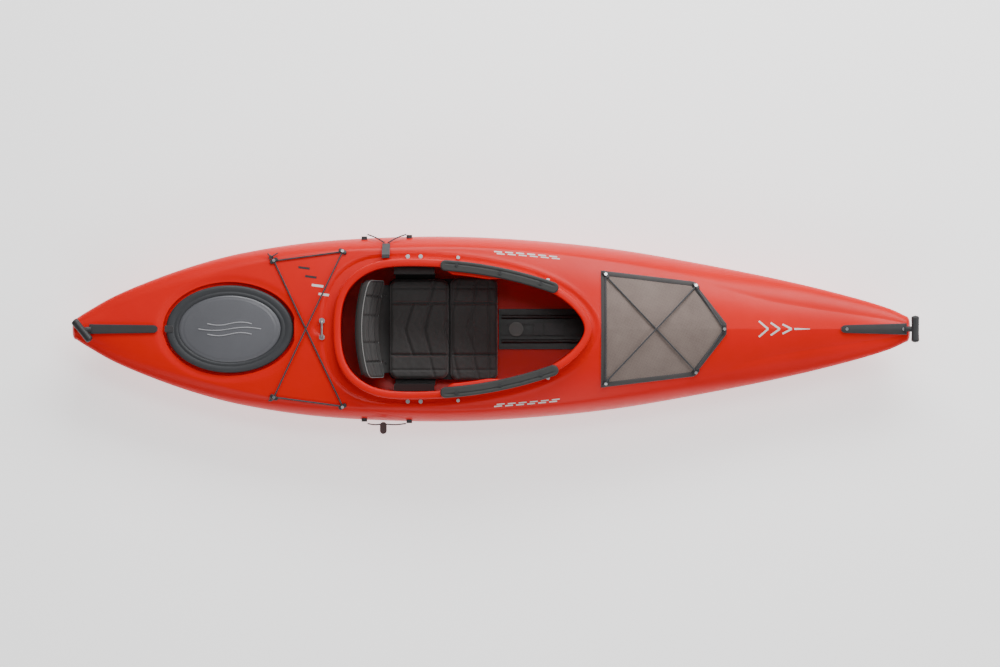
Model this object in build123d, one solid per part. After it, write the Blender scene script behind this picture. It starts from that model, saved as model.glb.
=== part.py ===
"""Crossover kayak: a one-piece plastic hull with its deck fittings, seat, braces, hatch and skeg.

Millimetres. +X points to the bow, +Y to port, +Z up. The origin is on the flat of the keel, amidships.
"""
from build123d import *
import os
from math import atan2, degrees, hypot, radians, tan

os.makedirs("parts", exist_ok=True)

# Hull
hull_length = 3200
beam = 710
wall = 5
deck_low = 215
gap = 0.3
running_gap = 0.05

# Cockpit and its rim
cockpit_aft = -571
cockpit_front = 354
cockpit_half_width = 238
rim_width = 29
rim_drop = 11
rim_aft_height = 322
rim_front_height = 376

# Stern hatch
hatch_x = -997
hatch_length = 486
hatch_width = 334
hatch_floor = 245
hatch_margin = 13
hatch_ring = 48
collar_height = 14
collar_inset = 26
lid_height = 21
panel_thickness = 5

# Cords and webbing
cord_radius = 3
cord_clearance = 1.6
strap_thickness = 4
mesh_thickness = 2.5
binding_thickness = 2

# Bolts and eyes
bolt_radius = 6
bolt_height = 3
eye_length = 34
eye_width = 16
eye_height = 8

# Seat
seat_aft = -395
seat_front = 25
seat_half_width = 195
seat_split = -163
seat_height = 62
plate_thickness = 5
cushion_thickness = 40
hinge_radius = 4
back_hinge_x = -418
back_hinge_z = 84
back_half_width = 187
back_height = 236
back_lean = 17
back_wrap = 30
shell_back = 7
pad_thickness = 28

# Floor spine
spine_aft = 30
spine_front = 560
spine_half_width = 78
spine_rail_y = 47
spine_rail_radius = 7
spine_height = 16

# Foot braces
rail_aft = 450
rail_front = 850
rail_depth = 14
rail_height = 24
rail_z = 135

# Skeg
skeg_pivot_x = -985
skeg_pivot_z = 66
skeg_length = 250
skeg_thickness = 8
skeg_box_width = 26
skeg_box_wall = 4
skeg_box_top = 172

# Stations run from the stern, -1, to the bow, 1. Each pair is a station and a value there.
breadth_shape = (
    (-1, 0.085), (-0.97, 0.175), (-0.9, 0.355), (-0.8, 0.545), (-0.7, 0.70), (-0.6, 0.817),
    (-0.45, 0.927), (-0.3, 0.98), (-0.1, 1.0), (0.1, 0.957), (0.3, 0.862), (0.5, 0.708),
    (0.7, 0.526), (0.85, 0.36), (0.95, 0.223), (1, 0.118),
)
knuckle_shape = (
    (-1, 0.56), (-0.83, 0.70), (-0.64, 0.79), (-0.5, 0.84), (-0.3, 0.865), (0, 0.87),
    (0.25, 0.83), (0.45, 0.75), (0.56, 0.65), (0.66, 0.54), (0.75, 0.49), (0.87, 0.45), (1, 0.40),
)
keel_height = (
    (-1, 165), (-0.95, 112), (-0.85, 62), (-0.7, 26), (-0.55, 5), (-0.42, -1), (0, -2),
    (0.4, -1), (0.55, 7), (0.7, 28), (0.85, 70), (0.95, 128), (1, 190),
)
gunwale_height = (
    (-1, 232), (-0.8, 212), (-0.6, 194), (-0.3, 176), (0, 168), (0.3, 172), (0.6, 192),
    (0.85, 225), (1, 256),
)
knuckle_height = (
    (-1, 254), (-0.85, 251), (-0.62, 254), (-0.4, 264), (-0.1, 266), (0.1, 274), (0.25, 285),
    (0.45, 279), (0.6, 274), (0.75, 270), (0.9, 274), (1, 282),
)
deck_height = (
    (-1, 264), (-0.85, 264), (-0.62, 270), (-0.4, 288), (-0.2, 305), (0, 326), (0.2, 350),
    (0.3, 352), (0.5, 325), (0.7, 298), (0.85, 289), (1, 291),
)
ridge_drop = ((-1, 0), (-0.3, 0), (0.2, 4), (0.5, 7), (0.8, 6), (1, 3))
flat_width = (
    (-1, 10), (-0.85, 45), (-0.6, 112), (-0.3, 165), (0, 175), (0.3, 160), (0.6, 98), (0.85, 40), (1, 14),
)
loft_stations = (
    -1, -0.97, -0.92, -0.85, -0.76, -0.66, -0.56, -0.45, -0.33, -0.2, -0.07,
    0.06, 0.2, 0.33, 0.45, 0.55, 0.65, 0.75, 0.85, 0.92, 0.97, 1,
)


def along(shape, station):
    """The value of a station table at any station, on a smooth curve through its points."""
    s = min(max(station, -1), 1)
    i = max(k for k in range(len(shape) - 1) if shape[k][0] <= s)
    (s0, v0), (s1, v1) = shape[i], shape[i + 1]
    before = shape[max(i - 1, 0)]
    after = shape[min(i + 2, len(shape) - 1)]
    slope0 = (v1 - before[1]) / (s1 - before[0])
    slope1 = (after[1] - v0) / (after[0] - s0)
    step = s1 - s0
    t = (s - s0) / step
    return (
        (2 * t**3 - 3 * t**2 + 1) * v0
        + (t**3 - 2 * t**2 + t) * step * slope0
        + (3 * t**2 - 2 * t**3) * v1
        + (t**3 - t**2) * step * slope1
    )


def section_sizes(station):
    """Half breadth, knuckle half breadth, and the heights of keel, gunwale, knuckle, deck and ridge."""
    half = beam / 2 * along(breadth_shape, station)
    deck = along(deck_height, station)
    return (
        half,
        half * along(knuckle_shape, station),
        along(flat_width, station),
        along(keel_height, station),
        along(gunwale_height, station),
        along(knuckle_height, station),
        deck,
        deck - along(ridge_drop, station),
    )


def half_section(station, inset):
    """The port half of one section as Bezier poles (y, z), from the keel up to the middle of the deck."""
    half, knuckle, flat, keel, gunwale, knuckle_z, deck, ridge = section_sizes(station)
    half -= inset
    knuckle -= 0.6 * inset
    flat -= 0.4 * inset
    keel += inset
    knuckle_z -= inset
    deck -= inset
    ridge -= inset
    rise = knuckle_z - gunwale
    return (
        ((0, keel), (flat, keel + 1)),
        (
            (flat, keel + 1),
            (flat + 0.78 * (half - flat), keel + 2),
            (half, keel + 0.42 * (gunwale - keel)),
            (half, gunwale),
        ),
        (
            (half, gunwale),
            (half, gunwale + 0.45 * rise),
            (knuckle + 0.45 * (half - knuckle), knuckle_z - 0.12 * rise),
            (knuckle, knuckle_z),
        ),
        ((knuckle, knuckle_z), (knuckle / 2, ridge), (0, deck)),
    )


def section_wire(station, inset):
    x = station * (hull_length / 2 - inset)
    port = [[(x, y, z) for y, z in poles] for poles in half_section(station, inset)]
    starboard = [[(x, -y, z) for x, y, z in reversed(poles)] for poles in reversed(port)]
    edges = [Line(*poles) if len(poles) == 2 else Bezier(*poles) for poles in port + starboard]
    return Wire(edges)


def hull_form(inset):
    """The hull as one solid block, drawn in by inset (or grown, if negative), with a flat keel."""
    block = Solid.make_loft([section_wire(s, inset) for s in loft_stations])
    return keep_above(block, inset)


def keep_above(shape, z):
    room = Location((0, 0, z + 500)) * Box(hull_length + 400, beam + 400, 1000)
    return shape & room


def deck_z(x, y):
    """The deck's height outside the knuckle or inside it."""
    _, knuckle, _, _, _, knuckle_z, deck, ridge = section_sizes(2 * x / hull_length)
    y = abs(y)
    if y <= knuckle:
        t = 1 - y / knuckle
        return (1 - t) ** 2 * knuckle_z + 2 * t * (1 - t) * ridge + t**2 * deck
    poles = half_section(2 * x / hull_length, 0)[2]
    low, high = 0, 1
    for _ in range(40):
        t = (low + high) / 2
        side = sum(w * p[0] for w, p in zip(cubic_weights(t), poles))
        low, high = (t, high) if side > y else (low, t)
    return sum(w * p[1] for w, p in zip(cubic_weights(low), poles))


def cubic_weights(t):
    return ((1 - t) ** 3, 3 * t * (1 - t) ** 2, 3 * t**2 * (1 - t), t**3)


def on_deck(x, y, turn=0, lift=0):
    """A place on the deck whose Z is the deck's outward normal, turned about it."""
    step = 2
    slope_x = (deck_z(x + step, y) - deck_z(x - step, y)) / (2 * step)
    slope_y = (deck_z(x, y + step) - deck_z(x, y - step)) / (2 * step)
    plane = Plane(
        origin=(x, y, deck_z(x, y)),
        x_dir=Vector(1, 0, slope_x),
        z_dir=Vector(-slope_x, -slope_y, 1),
    )
    return plane.location * Pos(0, 0, lift) * Rotation(0, 0, turn)


def rim_z(x):
    rim_aft_x = cockpit_aft - rim_width
    rim_front_x = cockpit_front + rim_width
    share = (x - rim_aft_x) / (rim_front_x - rim_aft_x)
    return rim_aft_height + share * (rim_front_height - rim_aft_height)


def rim_slab(low, high):
    """The space between two levels, measured from the rim's top plane."""
    slope = rim_z(1) - rim_z(0)
    plane = Plane(origin=(0, 0, rim_z(0)), x_dir=(1, 0, slope), z_dir=(-slope, 0, 1))
    box = Box(1600, beam, high - low, align=(Align.CENTER, Align.CENTER, Align.MIN))
    return plane.location * Location((0, 0, low)) * box


# The cockpit's inner edge, from aft to front, as shares of its length and half width
cockpit_shape = (
    (0, 0), (0.035, 0.63), (0.14, 0.935), (0.25, 1.0), (0.41, 0.985), (0.65, 0.86), (0.87, 0.57),
    (0.965, 0.28), (1, 0),
)


def cockpit_points():
    """The port half of the cockpit's inner edge, from aft to front."""
    length = cockpit_front - cockpit_aft
    return [(cockpit_aft + u * length, v * cockpit_half_width) for u, v in cockpit_shape]


def grown(points, grow):
    """The points of a half outline moved outwards, square to the line through their neighbours."""
    moved = []
    last = len(points) - 1
    for i, (x, y) in enumerate(points):
        before = points[i - 1] if i else (points[1][0], -points[1][1])
        after = points[i + 1] if i < last else (points[last - 1][0], -points[last - 1][1])
        run = hypot(after[0] - before[0], after[1] - before[1])
        moved.append((x - grow * (after[1] - before[1]) / run, y + grow * (after[0] - before[0]) / run))
    return moved


def cockpit_prism(grow, low=150, high=500):
    """The cockpit's plan, grown outwards, as a tall upright block."""
    port = grown(cockpit_points(), grow)
    starboard = [(x, -y) for x, y in reversed(port[1:-1])]
    face = make_face(Wire([Spline(*port, *starboard, periodic=True)]))
    return Location((0, 0, low)) * extrude(face, high - low)


def oval(length, width, low, high, x=hatch_x):
    return Location((x, 0, low)) * extrude(Ellipse(length / 2, width / 2), high - low)


def skin(face, low, high):
    """A sheet with this plan that lies on the deck, between two heights over it."""
    prism = Location((0, 0, deck_low)) * extrude(face, 400)
    return (prism & hull_form(-high)) - hull_form(-low)


def tube(points, radius):
    """A round cord through the points, straight runs joined by arcs as large as the runs allow."""
    vectors = [Vector(*p) for p in points]
    radii = []
    for a, b, c in zip(vectors, vectors[1:], vectors[2:]):
        turn = radians((b - a).get_angle(c - b))
        radii.append(0.45 * min((b - a).length, (c - b).length) / tan(turn / 2))
    path = FilletPolyline(*vectors, radius=radii) if radii else Line(*vectors)
    start = Plane(origin=vectors[0], z_dir=vectors[1] - vectors[0])
    return sweep(start * Circle(radius), path=path)


def deck_cord(start, end, lift, steps=4, hump=0):
    """A taut cord laid over the deck's crown from the middle of one eye to the middle of another."""
    points = []
    for i in range(steps + 1):
        t = i / steps
        x = start[0] + (end[0] - start[0]) * t
        y = start[1] + (end[1] - start[1]) * t
        rise = hump * (1 - abs(2 * i / steps - 1))
        points.append((x, y, deck_z(x, y) + lift + cord_radius + gap + cord_clearance + rise))
    return tube(points, cord_radius)


def save(name, shape):
    shapes = shape if isinstance(shape, (list, tuple)) else [shape]
    solids = [solid for one in shapes for solid in one.solids()]
    export_step(Compound(solids) if len(solids) > 1 else solids[0], f"parts/{name}.step")


def mirrored(shape):
    return mirror(shape, about=Plane.XZ)


# Hull shell
outer_form = hull_form(0)
inner_form = hull_form(wall)
clear_form = hull_form(-gap)
inside_form = hull_form(wall + gap)


def coaming_form():
    """The rim with its down-turned lip, and the riser that carries it, before the opening is cut."""
    tray = cockpit_prism(rim_width) & rim_slab(-rim_drop, 0)
    tray -= cockpit_prism(rim_width - wall) & rim_slab(-rim_drop - 1, -wall)
    riser = cockpit_prism(wall) & rim_slab(-150, -wall / 2)
    return tray + riser


recess_length = hatch_length + 2 * hatch_margin
recess_width = hatch_width + 2 * hatch_margin
collar_length = hatch_length - 2 * collar_inset
collar_width = hatch_width - 2 * collar_inset


def hatch_tub():
    """What stays solid under the deck round the hatch."""
    return oval(recess_length + 2 * wall, recess_width + 2 * wall, hatch_floor - wall, 500)


def hatch_recess():
    """What is cut away over the recess floor, round the collar that the lid grips."""
    collar = oval(collar_length, collar_width, hatch_floor - 1, hatch_floor + collar_height)
    mouth = oval(collar_length - 2 * wall, collar_width - 2 * wall, hatch_floor - 40, 500)
    return oval(recess_length, recess_width, hatch_floor, 500) - collar + mouth


def skeg_slot():
    width = skeg_box_width - 2 * skeg_box_wall
    aft = skeg_pivot_x - skeg_length - 12
    front = skeg_pivot_x + 22
    return Location(((aft + front) / 2, 0, 40)) * Box(front - aft, width, 200)


def hull_shell():
    body = outer_form + coaming_form()
    body -= inner_form - hatch_tub()
    body -= cockpit_prism(0)
    body -= hatch_recess()
    return body - skeg_slot()


save("hull_shell", hull_shell())


# The breadths that the places across the boat are given for. The places follow the real breadths.
drawn_beam = 710
drawn_cockpit_half = 238
across = beam / drawn_beam
cockpit_across = cockpit_half_width / drawn_cockpit_half


# Bulkhead and skeg
bulkhead_x = -668
bulkhead_thickness = 38


def bulkhead():
    slab = Location((bulkhead_x, 0, 200)) * Box(bulkhead_thickness, beam, 600)
    return slab & inside_form


def skeg_box():
    """An open-bottomed trunk over the slot, with its pivot hole."""
    aft = skeg_pivot_x - skeg_length - 12 - skeg_box_wall
    front = skeg_pivot_x + 22 + skeg_box_wall
    block = Pos((aft + front) / 2, 0, skeg_box_top / 2) * Box(front - aft, skeg_box_width, skeg_box_top)
    room = Pos((aft + front) / 2, 0, skeg_box_top / 2 - skeg_box_wall) * Box(
        front - aft - 2 * skeg_box_wall, skeg_box_width - 2 * skeg_box_wall, skeg_box_top
    )
    return ((block & inside_form) - room) - pivot_rod(hinge_radius + running_gap, beam)


def pivot_rod(radius, length):
    return Pos(skeg_pivot_x, 0, skeg_pivot_z) * Rotation(90, 0, 0) * Cylinder(radius, length)


def skeg_blade():
    """A swept fin lying back in its trunk, pivoted at its forward lower corner."""
    outline = Polyline(
        (skeg_pivot_x + 14, skeg_pivot_z - 12),
        (skeg_pivot_x + 12, skeg_pivot_z + 14),
        (skeg_pivot_x - 90, skeg_pivot_z + 92),
        (skeg_pivot_x - skeg_length + 30, skeg_pivot_z + 84),
        (skeg_pivot_x - skeg_length + 12, skeg_pivot_z + 30),
        close=True,
    )
    face = Plane.XZ * make_face(Wire(outline.edges()))
    blade = extrude(face, skeg_thickness / 2, both=True)
    blade = fillet(blade.edges().filter_by(Axis.Y), 8)
    return blade - pivot_rod(hinge_radius + running_gap, beam)


save("stern_bulkhead", bulkhead())
save("skeg_box", skeg_box())
save("skeg_pivot_pin", pivot_rod(hinge_radius, skeg_box_width + 6))
save("skeg_blade", skeg_blade())


# Hatch lid
lid_bottom = hatch_floor + 1
lid_top = lid_bottom + lid_height
panel_length = hatch_length - 2 * hatch_ring
panel_width = hatch_width - 2 * hatch_ring
groove_gap = 0.8


def hatch_lid_rim():
    """The soft ring, grooved underneath to grip the hull's collar and rebated for the panel."""
    ring = oval(hatch_length, hatch_width, lid_bottom, lid_top)
    ring = fillet(ring.edges().group_by(Axis.Z)[-1], 6)
    rebate = oval(panel_length + 2 * gap, panel_width + 2 * gap, lid_top - panel_thickness - gap, 500)
    groove_top = hatch_floor + collar_height + groove_gap
    groove = oval(collar_length + 2 * groove_gap, collar_width + 2 * groove_gap, hatch_floor, groove_top)
    core = collar_length - 2 * wall - 2 * groove_gap
    core_width = collar_width - 2 * wall - 2 * groove_gap
    groove -= oval(core, core_width, hatch_floor, groove_top)
    hole = oval(panel_length - 24, panel_width - 24, hatch_floor, 500)
    return ring - rebate - groove - hole


def hatch_lid_panel():
    return oval(panel_length, panel_width, lid_top - panel_thickness, lid_top + 2)


def hatch_pull_tab():
    """A loop of tape let into the ring's stern end."""
    aft = hatch_x - hatch_length / 2
    return Pos(aft + 12, 0, lid_top + gap + 1.5) * Box(34, 26, 3)


save("hatch_lid_rim", hatch_lid_rim())
save("hatch_lid_panel", hatch_lid_panel())
save("hatch_pull_tab", hatch_pull_tab())


# Eyes, bolts and cords on the deck
def pad_eye(x, y, turn, lift=0, grow=0):
    """A low moulded eye with rounded ends, its foot shaped to the deck."""
    eye = extrude(SlotOverall(eye_length + 2 * grow, eye_width + 2 * grow), eye_height + 8 + 2 * grow)
    if grow == 0:
        eye = fillet(eye.edges().group_by(Axis.Z)[-1], 3)
    return on_deck(x, y, turn, lift) * Pos(0, 0, -8) * eye


def cut_at_eyes(cords, eyes, turns, lift=0):
    """The cords stop just short of the eyes that hold them."""
    for (x, y), turn in zip(eyes, turns):
        holder = pad_eye(x, y, turn, lift, gap)
        cords = [cord - holder for cord in cords]
    return cords


def bolt_head(x, y, lift, radius=bolt_radius, height=bolt_height):
    head = Cylinder(radius, height, align=(Align.CENTER, Align.CENTER, Align.MIN))
    return on_deck(x, y, 0, lift) * Pos(0, 0, gap) * head


def cut_to_deck(shapes, lift=0):
    form = clear_form if lift == 0 else hull_form(-gap - lift)
    return [shape - form for shape in shapes]


stern_eye_aft = (-828, 260 * across)
stern_eye_front = (-566, 295 * across)
stern_eyes = tuple((x, side * y) for side in (1, -1) for x, y in (stern_eye_aft, stern_eye_front))
stern_eye_turn = (30, -30, -30, 30)


def stern_cord_runs():
    port_aft, port_front, starboard_aft, starboard_front = stern_eyes
    cords = [
        deck_cord(port_aft, port_front, 0, steps=3),
        deck_cord(starboard_aft, starboard_front, 0, steps=3),
        deck_cord(port_aft, starboard_front, 0, steps=6),
        deck_cord(starboard_aft, port_front, 0, steps=6, hump=2 * cord_radius + 4),
    ]
    return cut_at_eyes(cords, stern_eyes, stern_eye_turn)


save("stern_pad_eyes", cut_to_deck([pad_eye(x, y, t) for (x, y), t in zip(stern_eyes, stern_eye_turn)]))
save("stern_eye_bolts", [bolt_head(x, y, eye_height) for x, y in stern_eyes])
save("stern_bungee", stern_cord_runs())


# Security bar
security_x = -644
security_half = 31
security_rise = 15
security_radius = 4.5


def security_bar():
    """A low staple that a lock or cable passes under."""
    base = deck_z(security_x, 0)
    foot = security_half
    path = FilletPolyline(
        (security_x, foot, base - 8),
        (security_x, foot, base + security_rise),
        (security_x, -foot, base + security_rise),
        (security_x, -foot, base - 8),
        radius=8,
    )
    bar = sweep(Pos(security_x, foot, base - 8) * Circle(security_radius), path=path)
    feet = [Pos(security_x, side * foot, base - 4) * Cylinder(11, 16) for side in (1, -1)]
    return (bar + feet[0] + feet[1]) - clear_form


save("security_bar", security_bar())


# Straps and grips
bow_strap_aft = hull_length / 2 - 265
bow_strap_front = hull_length / 2 - 16
bow_strap_bolts = (bow_strap_aft + 21, bow_strap_front - 12)
stern_strap_front = 327 - hull_length / 2
stern_strap_aft = 68 - hull_length / 2
stern_strap_bolts = (stern_strap_aft + 9, stern_strap_front - 25)


def strap(narrow_x, wide_x, narrow, wide):
    """A tapered webbing strap with a round inner end, lying on the deck."""
    way = 1 if wide_x > narrow_x else -1
    start = narrow_x + way * narrow / 2
    outline = [
        Line((start, narrow / 2), (wide_x, wide / 2)),
        Line((wide_x, wide / 2), (wide_x, -wide / 2)),
        Line((wide_x, -wide / 2), (start, -narrow / 2)),
        ThreePointArc((start, -narrow / 2), (narrow_x, 0), (start, narrow / 2)),
    ]
    return skin(make_face(Wire(outline)), gap, gap + strap_thickness)


grip_length = 104
grip_radius = 16
neck_slack = 0.3
grip_lift = grip_radius + strap_thickness + 2 * gap


def grip(bar_x, bar_y, turn, neck_x, deck):
    """A round-ended bar with the short flat neck that joins it to the end of the strap."""
    height = deck + grip_lift
    bar = Rotation(0, 0, turn) * Rotation(90, 0, 0) * Cylinder(grip_radius, grip_length)
    bar = Pos(bar_x, bar_y, height) * fillet(bar.edges(), grip_radius * 0.6)
    low = deck + strap_thickness + 3 * gap + bolt_height + neck_slack
    span = abs(bar_x - neck_x)
    neck = Pos((bar_x + neck_x) / 2, bar_y / 2, low + 2.5) * Box(span, 24, 5)
    return bar + neck


bow_grip_x = hull_length / 2 + 14
stern_grip_x = 42 - hull_length / 2
stern_grip_y = -6
stern_grip_turn = 39
bow_grip_deck = deck_z(bow_strap_bolts[1], 0)
stern_grip_deck = deck_z(stern_strap_bolts[0], 0)

save("bow_strap", strap(bow_strap_aft, bow_strap_front, 27, 40))
save("stern_strap", strap(stern_strap_front, stern_strap_aft, 28, 35))
save("bow_strap_bolts", [bolt_head(x, 0, strap_thickness + gap) for x in bow_strap_bolts])
save("stern_strap_bolts", [bolt_head(x, 0, strap_thickness + gap) for x in stern_strap_bolts])
save("bow_grip", grip(bow_grip_x, 0, 0, bow_strap_bolts[1], bow_grip_deck))
save("stern_grip", grip(stern_grip_x, stern_grip_y, stern_grip_turn, stern_strap_bolts[0], stern_grip_deck))


# Foredeck mesh panel
mesh_side = tuple((x, y * across) for x, y in ((418, 223), (772, 181), (896, 20)))
mesh_corners = mesh_side + tuple((x, -y) for x, y in reversed(mesh_side))
mesh_anchor_side = tuple((x, y * across) for x, y in ((436, 203), (779, 161)))
mesh_anchors = mesh_anchor_side + ((886, 0),) + tuple((x, -y) for x, y in reversed(mesh_anchor_side))
mesh_anchor_turn = (-50, -50, 90, 50, 50)
binding_width = 18
mesh_top = gap + mesh_thickness + gap + binding_thickness


def mesh_face(points):
    return make_face(Wire(Polyline(*points, close=True).edges()))


def deck_mesh():
    return skin(mesh_face(mesh_corners), gap, gap + mesh_thickness)


def mesh_binding():
    outer = mesh_face(mesh_corners)
    inner = offset(outer, -binding_width, kind=Kind.INTERSECTION)
    return skin(outer - inner, mesh_top - binding_thickness, mesh_top)


def mesh_cord_runs():
    aft_port, port, tip, starboard, aft_starboard = mesh_anchors
    cords = [
        deck_cord(aft_port, aft_starboard, mesh_top, steps=6),
        deck_cord(port, tip, mesh_top, steps=3),
        deck_cord(starboard, tip, mesh_top, steps=3),
        deck_cord(aft_port, starboard, mesh_top, steps=6),
        deck_cord(aft_starboard, port, mesh_top, steps=6, hump=2 * cord_radius + 4),
    ]
    return cut_at_eyes(cords, mesh_anchors, mesh_anchor_turn, mesh_top)


save("deck_mesh", deck_mesh())
save("mesh_binding", mesh_binding())
mesh_eyes = [pad_eye(x, y, t, mesh_top) for (x, y), t in zip(mesh_anchors, mesh_anchor_turn)]
save("mesh_pad_eyes", cut_to_deck(mesh_eyes, mesh_top))
save("mesh_eye_bolts", [bolt_head(x, y, mesh_top + eye_height) for x, y in mesh_anchors])
save("mesh_bungee", mesh_cord_runs())


# Paddle keepers
keeper_x = -400
keeper_width = 30
keeper_length = 62
keeper_thickness = 6
keeper_outer_y = 325 * across
keeper_anchor_x = (-485, -313)
keeper_anchor_drop = 62
anchor_length = 22
cord_end_gap = 1.7
keeper_cord_radius = 2.5
starboard_keeper_x = -412
starboard_keeper_outer = -402 * across
hook_lift = 9


def side_y(x, z):
    """The hull side's half breadth at a height between gunwale and knuckle."""
    poles = half_section(2 * x / hull_length, 0)[2]
    low, high = 0, 1
    for _ in range(40):
        t = (low + high) / 2
        height = sum(w * p[1] for w, p in zip(cubic_weights(t), poles))
        low, high = (t, high) if height < z else (low, t)
    return sum(w * p[0] for w, p in zip(cubic_weights(low), poles))


keeper_anchor_z = deck_z(keeper_x, keeper_outer_y) - keeper_anchor_drop + 22


def keeper_anchors(side):
    """Two small eyes on the hull side that the keeper's cord is knotted to."""
    anchors = []
    for x in keeper_anchor_x:
        y = side_y(x, keeper_anchor_z)
        block = Pos(x, side * (y + 4), keeper_anchor_z) * Box(anchor_length, 16, 12)
        anchors.append(fillet(block.edges().filter_by(Axis.Y), 4) - clear_form)
    return anchors


def port_keeper():
    """A flat hook that lies up the deck with its nose under the rim's lip."""
    rim_edge = cockpit_half_width + rim_width
    tip = (rim_edge + 1.5, rim_z(keeper_x) - rim_drop - keeper_thickness)
    outer = (keeper_outer_y, deck_z(keeper_x, keeper_outer_y) - 1)
    bend = (rim_edge + 14, tip[1] - 1)
    under = [(y, z) for y, z in (tip, bend, outer)]
    over = [(y + 2, z + keeper_thickness) for y, z in (outer, bend, tip)]
    face = Plane.YZ * make_face(Wire(Polyline(*under, *over, close=True).edges()))
    hook = Pos(keeper_x, 0, 0) * extrude(face, keeper_width / 2, both=True)
    return hook - clear_form


def keeper_cord(ends, knot):
    """Two legs of cord from the hook's outer end to the two anchors."""
    legs = []
    for x, way in zip(keeper_anchor_x, (-1, 1)):
        start = (knot[0] + way * 7, knot[1], knot[2])
        end = (x - way * (anchor_length / 2 + cord_end_gap), ends[0], ends[1])
        middle = tuple((a + b) / 2 for a, b in zip(start, end))
        bow = (middle[0], middle[1] + ends[2] * 4, middle[2] + 4)
        legs.append(tube((start, bow, end), keeper_cord_radius))
    return legs


port_anchor_y = side_y(keeper_x, keeper_anchor_z) + 16
keeper_ends = (port_anchor_y, keeper_anchor_z, 1)
knot_y = keeper_outer_y + 2 + keeper_cord_radius + 2 * gap
save("port_keeper_anchors", keeper_anchors(1))
save("starboard_keeper_anchors", keeper_anchors(-1))
save("port_keeper_hook", port_keeper())
save("port_keeper_cord", keeper_cord(keeper_ends, (keeper_x, knot_y, deck_z(keeper_x, knot_y) + 7)))


def starboard_keeper():
    """The same hook let go: it stands straight out over the side on its stiff cord."""
    inner = -(side_y(starboard_keeper_x, keeper_anchor_z) + 10)
    reach = abs(starboard_keeper_outer - inner)
    plate = extrude(SlotOverall(reach, keeper_width - 4), keeper_thickness)
    plate = fillet(plate.edges().group_by(Axis.Z)[-1], 2)
    middle = (inner + starboard_keeper_outer) / 2
    return Pos(starboard_keeper_x, middle, keeper_anchor_z + hook_lift) * Rotation(0, 0, 90) * plate


starboard_knot_z = keeper_anchor_z + hook_lift - keeper_cord_radius - gap
starboard_knot = (starboard_keeper_x, -port_anchor_y - 2, starboard_knot_z)
save("starboard_keeper_hook", starboard_keeper())
save("starboard_keeper_cord", keeper_cord((-port_anchor_y, keeper_anchor_z, -1), starboard_knot))


# Thigh braces, on top of the rim
brace_ends = ((-171, 241 * cockpit_across), (235, 157 * cockpit_across))
brace_bulge = 14
brace_width = 42
brace_plate_thickness = 3
brace_pad_thickness = 12
button_places = ((-130, 243), (34, 213), (189, 173))
button_radius = 7


def brace_strip(width, low, high):
    """A banana-shaped strip along the rim, with round ends, between two levels over the rim's top."""
    (x0, y0), (x1, y1) = brace_ends
    run = hypot(x1 - x0, y1 - y0)
    across = ((y0 - y1) / run, (x1 - x0) / run)
    middle = ((x0 + x1) / 2 + across[0] * brace_bulge, (y0 + y1) / 2 + across[1] * brace_bulge)
    arc = ThreePointArc((x0, y0), middle, (x1, y1))
    strip = trace_arc(arc, width)
    prism = Pos(0, 0, 200) * extrude(strip, 400)
    return prism & rim_slab(low, high)


def trace_arc(arc, width):
    return make_face(offset(arc, width / 2, side=Side.BOTH).edges())


plate_low = gap
plate_high = plate_low + brace_plate_thickness
pad_low = plate_high + gap
pad_high = pad_low + brace_pad_thickness


def brace_buttons():
    buttons = []
    slope = degrees(atan2(rim_z(1) - rim_z(0), 1))
    for x, y in button_places:
        place = Pos(x, y * cockpit_across, rim_z(x) + pad_high + gap) * Rotation(0, -slope, 0)
        buttons.append(place * Pos(0, 0, bolt_height / 2) * Cylinder(button_radius, bolt_height))
    return buttons


for side_name, place in (("port", lambda shape: shape), ("starboard", mirrored)):
    save(f"{side_name}_brace_plate", place(brace_strip(brace_width - 6, plate_low, plate_high)))
    save(f"{side_name}_thigh_pad", place(brace_strip(brace_width, pad_low, pad_high)))
    save(f"{side_name}_brace_buttons", [place(b) for b in brace_buttons()])


brace_bolt_places = ((-125, 272), (217, 186))
brace_bolt_radius = 7
seat_bolt_places = ((-317, 276), (-268, 276))
seat_bolt_radius = 8


def paired_bolts(places, radius):
    spots = [(x, side * y * cockpit_across) for x, y in places for side in (1, -1)]
    bolts = [bolt_head(x, y, 0, radius) for x, y in spots]
    return cut_to_deck(bolts)


save("brace_bolts", paired_bolts(brace_bolt_places, brace_bolt_radius))
save("seat_bolts", paired_bolts(seat_bolt_places, seat_bolt_radius))


# Seat
pedestal_low = wall + gap
cushion_low = seat_height + gap
web_y = seat_half_width - 75
web_thickness = 12
ear_y = seat_half_width - 65
ear_length = 30
lug_y = ear_y - plate_thickness - 1.5
lug_thickness = 5
hanger_y = seat_half_width + 17
hanger_aft = -370
hanger_front = -215
over_all = 400


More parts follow.
